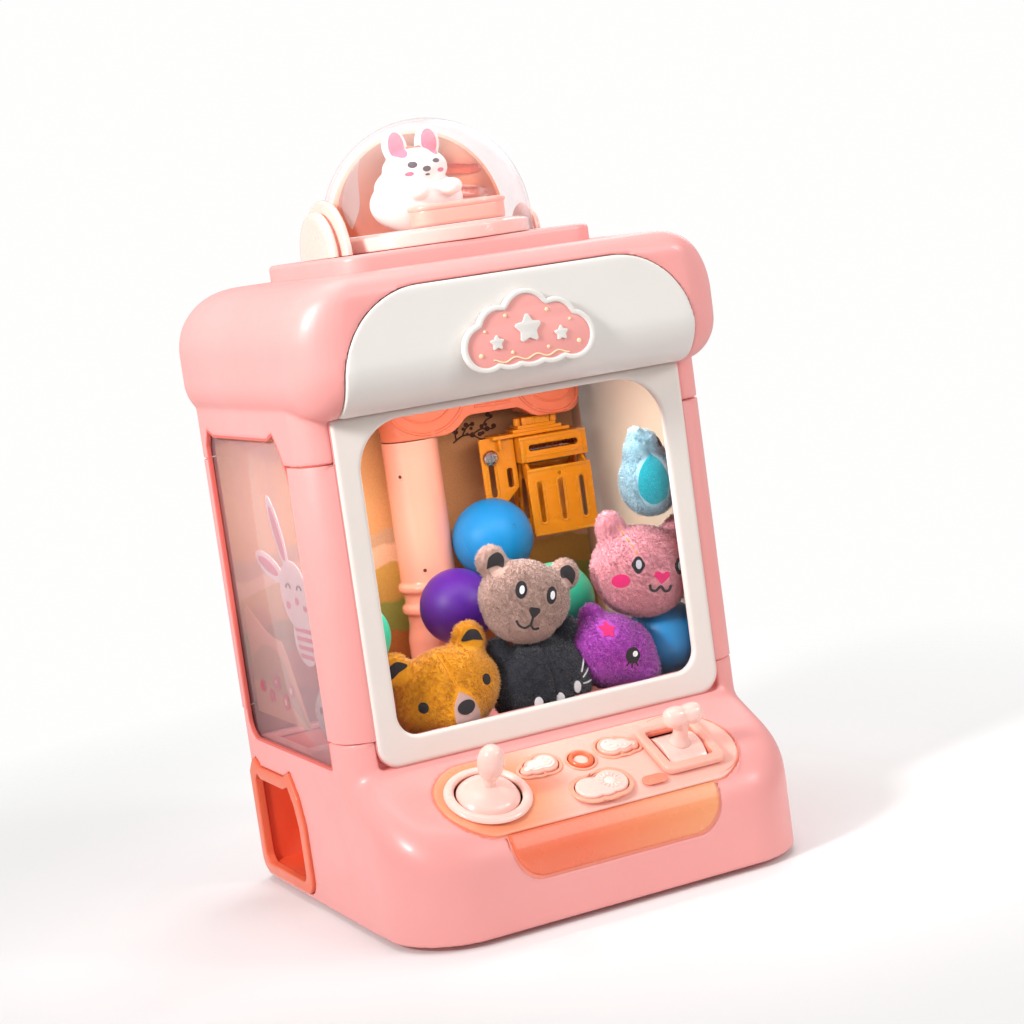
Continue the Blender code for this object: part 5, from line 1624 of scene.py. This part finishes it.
def plush_black():
    oval = circle(0, 0, 1.5, 28, 1.45)
    whiskers = [
        [(11.6, -0.6), (13.6, 2.0), (15.4, 4.2)],
        [(11.8, -2.6), (14.2, -1.4), (16.4, 0.2)],
        [(11.6, -4.8), (14.0, -5.2), (16.2, -5.2)],
    ]
    plush(
        "plush_cat_black", FUR_BLACK,
        posed("plush_cat_black", 1.40, -4.0, 0.0, (0.0, 0.0, 3.0)),
        [((0, 0, -2), (20.0, 12.0, 16.0)), *ears(13.5, 0, 11.5, (5.0, 3.6, 8.0), 0.25)],
        lambda p: rim_seam(p) or (abs(p.x) < 0.8 and p.y < 0),
        [
            ("spot_left", (-7.4, -6.4), oval, FELT_WHITE, 0.6),
            ("spot_middle", (1.0, -7.2), oval, FELT_WHITE, 0.6),
            ("spot_right", (8.4, -5.0), oval, FELT_WHITE, 0.6),
        ],
        [
            ("whiskers", whiskers, 0.32, FELT_WHITE),
            ("seam", [[(0.2, 12.0), (0.0, 2.0), (0.2, -6.0)]], 0.2, FELT_BLACK),
        ],
        count=16000, length=1.3, voxel=1.5, seed=13,
    )


def plush_pink():
    eye = rounded([(0, -4.6, 1.4), (2.9, 0.0, 1.6), (0, 4.6, 1.4), (-2.9, 0.0, 1.6)], 8)
    nose = loop_through((0, -2.6), (-3.4, 0.6), (-2.4, 2.4), (0, 1.6), (2.4, 2.4), (3.4, 0.6))
    mouth = [(-3.4, -6.6), (-2.6, -8.6), (-0.4, -9.0), (1.6, -7.2), (3.8, -9.0), (5.8, -8.6), (6.6, -6.6)]
    dashes = [[(k - 13.6, 15.6 - 2.3 * k), (k - 13.2, 14.4 - 2.3 * k)] for k in range(5)]
    plush(
        "plush_cat_pink", FUR_PINK, posed("plush_cat_pink", 1.27, 12.0, 0.0, (2.5, 0.0, -2.0)),
        [
            ((0, 0, -1), (22.5, 13.5, 17.5)),
            ((0, 0, -6), (19.5, 12.5, 14.5)),
            *ears(15.0, 0.5, 14.0, (6.6, 4.4, 8.6), 0.35),
        ],
        rim_seam,
        [
            *pair("eye", (-8.8, 1.0), (10.2, 1.0), eye, FELT_BLACK, 0.4),
            *pair("glint", (-8.7, 1.2), (10.3, 1.2), circle(0, 0, 1.1, 24, 1.6), FELT_GREY, 0.75),
            *pair("cheek", (-14.6, -5.6), (15.4, -5.6), circle(0, 0, 3.1, 32, 0.85), FELT_MAGENTA, 0.35),
            ("nose", (1.6, -3.6), nose, FELT_MAGENTA, 0.5),
        ],
        [("mouth", [mouth], 0.55, FELT_BLACK), ("thread", dashes, 0.28, THREAD)],
        count=18000, length=1.3, voxel=1.5, seed=14,
    )


def plush_purple():
    star = []
    for k, a in enumerate(round_about(10)):
        reach = 3.2 if k % 2 else 1.9
        star.append(Vector((reach * math.cos(a), reach * math.sin(a))))
    lashes = [[(2.4, -2.2), (3.2, -3.8)], [(4.0, -1.4), (5.6, -2.4)], [(0.8, -2.4), (0.6, -4.0)]]
    plush(
        "plush_purple", FUR_PURPLE, posed("plush_purple", 1.32, 30.0, 0.0, (-1.5, 0.0, 2.5)),
        [
            ((-1, 0, 0), (18.5, 12.5, 14.5)),
            ((8, 0, -3), (12.5, 11.0, 11.0)),
            ((-13, 1, 9), (5.5, 4.0, 6.5), -0.6),
        ],
        lambda p: rim_seam(p) or (abs(p.x - 1.5) < 0.8 and p.z > -2 and p.y < 0),
        [
            ("patch", (-10.5, 6.4), star, FELT_MAGENTA, 0.3),
            ("eye", (1.6, 0.6), circle(0, 0, 3.1, 36), FELT_BLACK, 0.4),
            ("glint", (2.2, 1.4), circle(0, 0, 1.1, 24), FELT_WHITE, 0.8),
        ],
        [("lashes", lashes, 0.3, FELT_BLACK)],
        count=15000, length=1.4, voxel=1.4, seed=15,
    )


def plush_blue():
    belly = loop_through(
        (0, 11.5), (-5.8, 4.0), (-6.4, -5.0), (-1.0, -10.5), (5.0, -8.0), (6.4, 0.0), (3.6, 8.0)
    )
    plush(
        "plush_blue", FUR_BLUE, posed("plush_blue", 1.15, 4.0),
        [
            ((0.5, 0, -4), (13.5, 11.5, 15.5)),
            ((-1.5, 0, 8), (9.0, 8.0, 11.0)),
            ((-4.0, 0, 15.0), (4.0, 4.5, 6.0), -0.3),
        ],
        lambda p: rim_seam(p) or (abs(p.x + 2.5) < 0.8 and p.z > 6.0),
        [
            ("belly", (-2.4, -3.0), belly, FUR_TEAL, 0.45),
            ("patch_top", (4.6, 13.2), circle(0, 0, 1.5, 24, 1.7), FELT_BLACK, 0.4),
            ("patch_low", (8.4, 6.2), circle(0, 0, 1.6, 24, 1.8), FELT_BLACK, 0.4),
            ("spot", (11.2, -8.0), circle(0, 0, 1.3, 24), FELT_RED, 0.4),
        ],
        [],
        count=13000, length=1.5, voxel=1.3, seed=16,
    )


def plush_white():
    plush(
        "plush_white", FUR_WHITE, posed("plush_white", 1.05, 0.0, -62.0),
        [((0, 0, -1), (17.5, 16.5, 18.0)), *ears(10, 0, 14, (5.0, 4.0, 6.5), 0.3)],
        rim_seam,
        [
            *pair("eye", (-6.0, 2.0), (6.0, 2.0), circle(0, 0, 1.6, 24), FELT_BLACK, 0.9),
            ("nose", (0.0, -2.6), circle(0, 0, 1.8, 24, 0.8), FELT_BLACK, 0.9),
        ],
        [],
        count=12000, length=2.2, voxel=1.6, seed=17,
    )


def hollow_ball(node, material, lean, vent, size=1.0, shift=(0.0, 0.0, 0.0)):
    """A blow-moulded ball: its mould seam round the middle and a small plug in one side."""
    low, high = cad(node)
    radius = size * (high.x - low.x) / 2
    equator = math.pi / 2
    down = arc(0, 180, 72) + [equator + off for off in (-0.02, -0.008, 0.008, 0.02)]
    profile = []
    for a in sorted(down)[1:-1]:
        reach = radius - 0.14 * math.exp(-((a - equator) / 0.012) ** 2)
        profile.append((reach * math.sin(a), reach * math.cos(a)))
    at = Matrix.Translation((low + high) / 2 + Vector(shift))
    tilt = turning(lean[0], "X") @ turning(lean[1], "Y")
    made = turned(f"{node}_shell", [(0.0, radius), *profile, (0.0, -radius)], 96, at @ tilt, 60.0)
    way = Vector(vent).normalized().to_track_quat("Z", "Y").to_matrix().to_4x4()
    ring = [(1.1, radius + 0.02), (1.9, radius + 0.10), (2.3, radius - 0.05), (1.1, radius - 0.4)]
    show(turned(f"{node}_plug", soft_profile(ring, 0.1), 48, at @ way), material)
    show(cylinder(f"{node}_hole", 1.1, (radius - 1.0, radius - 0.02), at @ way, 32), DARK_BLUE)
    show(made, material, [node])


def balls():
    hollow_ball("ball_blue", BALL_BLUE, (60, 20), (0.20, -0.92, 0.34), 1.12, (1.0, 0.0, 5.0))
    hollow_ball("ball_purple", BALL_PURPLE, (75, -30), (0.3, -0.5, -0.8), 1.14, (4.0, 0.0, 0.0))
    hollow_ball("ball_teal", BALL_TEAL, (40, 30), (0.9, 0.3, 0.3))
    hollow_ball("ball_blue_low", BALL_BLUE, (80, 40), (0.2, 0.9, 0.3), 1.12, (-1.0, 0.0, 1.0))
    hollow_ball("ball_teal_low", BALL_TEAL, (70, 10), (0.9, 0.1, 0.5), 1.05, (0.0, 0.0, 12.0))


# ------------------------------------------------------------------ prints


def twig():
    """A berried twig printed on the back wall, beside the column's top."""
    y = cad("scenery_card")[0].y - 0.2
    stems = [
        [(30, 211), (36, 214), (42, 214), (48, 216), (55, 215)],
        [(36, 214), (39, 218), (43, 220)],
        [(42, 214), (46, 211), (50, 210)],
        [(48, 216), (51, 220), (54, 221)],
        [(32, 212.5), (32, 216), (34, 219)],
    ]
    stems = [[(x, y, z) for x, z in stem] for stem in stems]
    show(tube("twig_stems", [catmull(s, 4) for s in stems], 0.45), TWIG)
    draw = random.Random(5)
    dots = []
    for stem in stems:
        for k in range(4):
            p = Vector(stem[-1]).lerp(Vector(stem[0]), k * 0.22)
            at = p + Vector((draw.uniform(-2, 2), 0, draw.uniform(-1.5, 2.5)))
            size = draw.uniform(0.9, 1.7)
            dots.append(ball("dot", (at.x, y, at.z), (size, 0.3, size * 0.9), 3))
    show(merged("twig_berries", *dots), TWIG)


PRINT_X = -104.2  # the plane of the print behind the left window


def layer(name, outlines, material, low, high):
    """Flat shapes of the print, each a little proud of the one before it, so none share a face."""
    at = moving(PRINT_X, 0, 0) @ FROM_LEFT
    pieces = [plate("leaf", [o], (low, high + 0.03 * k), 0.05, at) for k, o in enumerate(outlines)]
    show(merged(name, *pieces), material)


def on_print(y, z, points, turn=0.0):
    """An outline moved to a place on the print, which is drawn as (-y, z)."""
    spin = Matrix.Rotation(turn, 2)
    return [Vector((-y, z)) + spin @ Vector(p) for p in points]


def smile(y):
    return [(PRINT_X - 0.5, y - 3 * math.cos(a), 163 + 2.2 * math.sin(a)) for a in arc(0, 180, 10)]


def print_rabbit():
    body = on_print(52, 138, circle(0, 0, 15, 48, 0.9))
    left_ear = on_print(70, 190, circle(0, 0, 6.4, 48, 3.2), 0.42)
    right_ear = on_print(89, 172, circle(0, 0, 6.0, 48, 3.2), 1.32)
    face = on_print(58, 160, circle(0, 0, 19, 64, 0.9))
    layer("side_print_rabbit", [body, left_ear, right_ear, face], PRINT_WHITE, -0.3, 0.0)
    left_ear = on_print(70, 190, circle(0, 0, 3.3, 40, 4.4), 0.42)
    right_ear = on_print(90, 172.2, circle(0, 0, 3.0, 40, 4.4), 1.32)
    layer("side_print_ears", [left_ear, right_ear], ROSE, 0.0, 0.35)
    shirt = [on_print(52, 138 - 4.4 * k, rectangle(-11 + k, 11 - k, -1.1, 1.1, 0.8)) for k in range(-1, 3)]
    layer("side_print_stripes", shirt, ROSE, 0.0, 0.07)
    spots = ((55, 157, 2.6, 0.8), (68, 154, 2.8, 0.7), (45, 154, 2.2, 0.7))
    spots = [on_print(y, z, circle(0, 0, size, 24, tall)) for y, z, size, tall in spots]
    layer("side_print_nose", spots, ROSE, 0.03, 0.33)
    eyes = [tube("eye", [smile(y)], 0.4) for y in (64, 49)]
    show(merged("side_print_eyes", *eyes), INK)


def side_print():
    """A plain cartoon rabbit, flowers and hills printed behind the left window."""
    print_rabbit()
    petals, hearts = [], []
    for y, z, size in ((84, 108, 2.2), (94, 101, 2.6), (104, 110, 2.4), (114, 102, 2.0), (126, 106, 1.8)):
        for a in round_about(5):
            petal = circle(0, 0, size * 0.8, 24)
            petals.append(on_print(y + size * math.cos(a), z + size * math.sin(a), petal))
        hearts.append(on_print(y, z, circle(0, 0, size * 0.7, 24)))
    layer("side_print_petals", petals, FLOWER, -0.1, 0.2)
    layer("side_print_hearts", hearts, BADGE_LIGHT, 0.2, 0.5)
    near, foot = 64, 90
    for name, level, swing, rate, material, low, high in (
        ("side_print_hill", 142, 9, 0.05, SAND, -0.9, -0.7),
        ("side_print_meadow", 122, 7, 0.07, MEADOW, -0.65, -0.5),
        ("side_print_ground", 104, 4, 0.06, SAND, -0.45, -0.35),
    ):
        crest = []
        for y in range(67, 143, 3):
            tall = level - foot + swing * math.sin(y * rate)
            crest.append(Vector((-y, foot + tall * min(1.0, (y - near) / 26))))
        layer(name, [[Vector((-142, foot)), *reversed(crest), Vector((-near, foot))]], material, low, high)


# ------------------------------------------------------------------ building it


def plain_parts():
    finish_cad(["base_plate", "ceiling_plate", "cabin_floor"], PINK)
    finish_cad(["prize_chute"], CHUTE_RED)
    finish_cad(["scenery_card"], printed_card(), 0)
    finish_cad(["front_window"], GLASS, 0)
    finish_cad(["side_window_left"], SMOKE, 0)
    finish_cad(["side_window_right"], HAZE, 0)
    finish_cad(["jaw_pin_front", "jaw_pin_rear", "swing_shaft", "swing_motor"], STEEL)
    finish_cad(["swing_gear", "motor_pinion", "joystick_gimbal"], NYLON)
    finish_cad(["main_board"], GREEN_BOARD)


for build in (
    base_shell, head_and_marquee, pillars, side_reveal_shades, window_frame, control_panel, outlet, plain_parts,
    stick_parts, lever_parts, buttons, column, arm, claw, dome_parts, rabbit, badge, balls, plush_grey,
    plush_orange, plush_black, plush_pink, plush_purple, plush_blue, plush_white, twig, side_print,
):
    build()

# ------------------------------------------------------------------ stage, light and camera


AMBIENT = 0.48


def studio():
    """A white surround, brighter to the camera than to the machine."""
    world = bpy.data.worlds.new("studio")
    look = Look(world, "Background")
    look.shader.inputs[0].default_value = (1.0, 0.995, 0.99, 1.0)
    seen = look.node("LightPath").outputs["Is Camera Ray"]
    look.join(look.shader.inputs[1], look.mapped(seen, 0.0, 1.0, AMBIENT, 1.0))
    bpy.context.scene.world = world


def pale_floor():
    """A pale floor that fades out into the surround."""
    bm = bmesh.new()
    bmesh.ops.create_grid(bm, x_segments=1, y_segments=1, size=6.0)
    bm.transform(moving(0.0, 0.0, -0.0002))
    made = mesh_object("floor", bm)
    look = new_look("pale_floor")
    far = look.node("VectorMath", look.place(), operation="LENGTH").outputs["Value"]
    look.set(Base_Color=(0.94, 0.94, 0.94, 1.0), Roughness=0.8, Alpha=look.mapped(far, 0.22, 0.60, 1.0, 0.0))
    made.data.materials.append(look.owner)


def lamp(name, kind, at, to, power, size):
    """A lamp at a place in metres, aimed at another."""
    light = bpy.data.lights.new(name, kind)
    light.energy = power
    if kind == "AREA":
        light.size = size
    else:
        light.shadow_soft_size = size
        light.spot_size = math.radians(32)
        light.spot_blend = 1.0
    made = object_of(name, light)
    made.location = at
    made.rotation_euler = (Vector(to) - Vector(at)).to_track_quat("-Z", "Y").to_euler()
    return made


def stage():
    bpy.context.scene.view_settings.view_transform = "Standard"
    studio()
    pale_floor()
    middle = (0.0, 0.0, 0.18)
    lamp("key", "AREA", (0.6, -1.4, 1.0), middle, 4.5, 0.7)
    lamp("top", "AREA", (0.0, 0.1, 1.5), middle, 7.0, 0.9)
    lamp("rim", "AREA", (0.9, 0.9, 0.9), middle, 3.0, 0.7)
    # a soft pool of light on each side of the machine's upper half
    lamp("side", "SPOT", (-1.2, -0.4, 0.85), (-0.08, 0.0, 0.30), 100.0, 0.16)
    lamp("side", "SPOT", (1.0, -0.9, 0.8), (0.10, 0.0, 0.28), 24.0, 0.16)
    # a little light under the ceiling, so the prizes aren't left in the case's own shadow
    for at, to, power, wide in (
        ((0.0, 16.0, 238.0), (0.0, 95.0, 130.0), 0.17, 0.15),
        ((-70.0, 60.0, 238.0), (-85.0, 80.0, 90.0), 0.10, 0.05),
    ):
        made = lamp("cabin", "AREA", HOME @ Vector(at), HOME @ Vector(to), power, wide)
        made.data.shape = "RECTANGLE"
        made.data.size_y = 0.02
        made.visible_camera = False
        made.visible_glossy = False


def camera():
    """The machine leans in the frame, so the camera is rolled about its own line of sight."""
    azimuth, down, roll = math.radians(-24.99), math.radians(7.135), math.radians(-7.927)
    sight = Vector((-math.sin(azimuth) * math.cos(down), math.cos(azimuth) * math.cos(down), -math.sin(down)))
    right = sight.cross(Vector((0, 0, 1))).normalized()
    up = right.cross(sight)
    across = right * math.cos(roll) + up * math.sin(roll)
    above = up * math.cos(roll) - right * math.sin(roll)
    data = bpy.data.cameras.new("camera")
    data.lens = 81.29
    data.sensor_width = 36.0
    obj = object_of("camera", data)
    at = HOME @ Vector((-478.57, -1009.79, 326.77))
    obj.matrix_world = Matrix.Translation(at) @ Matrix((across, above, -sight)).transposed().to_4x4()
    bpy.context.scene.camera = obj


stage()
camera()
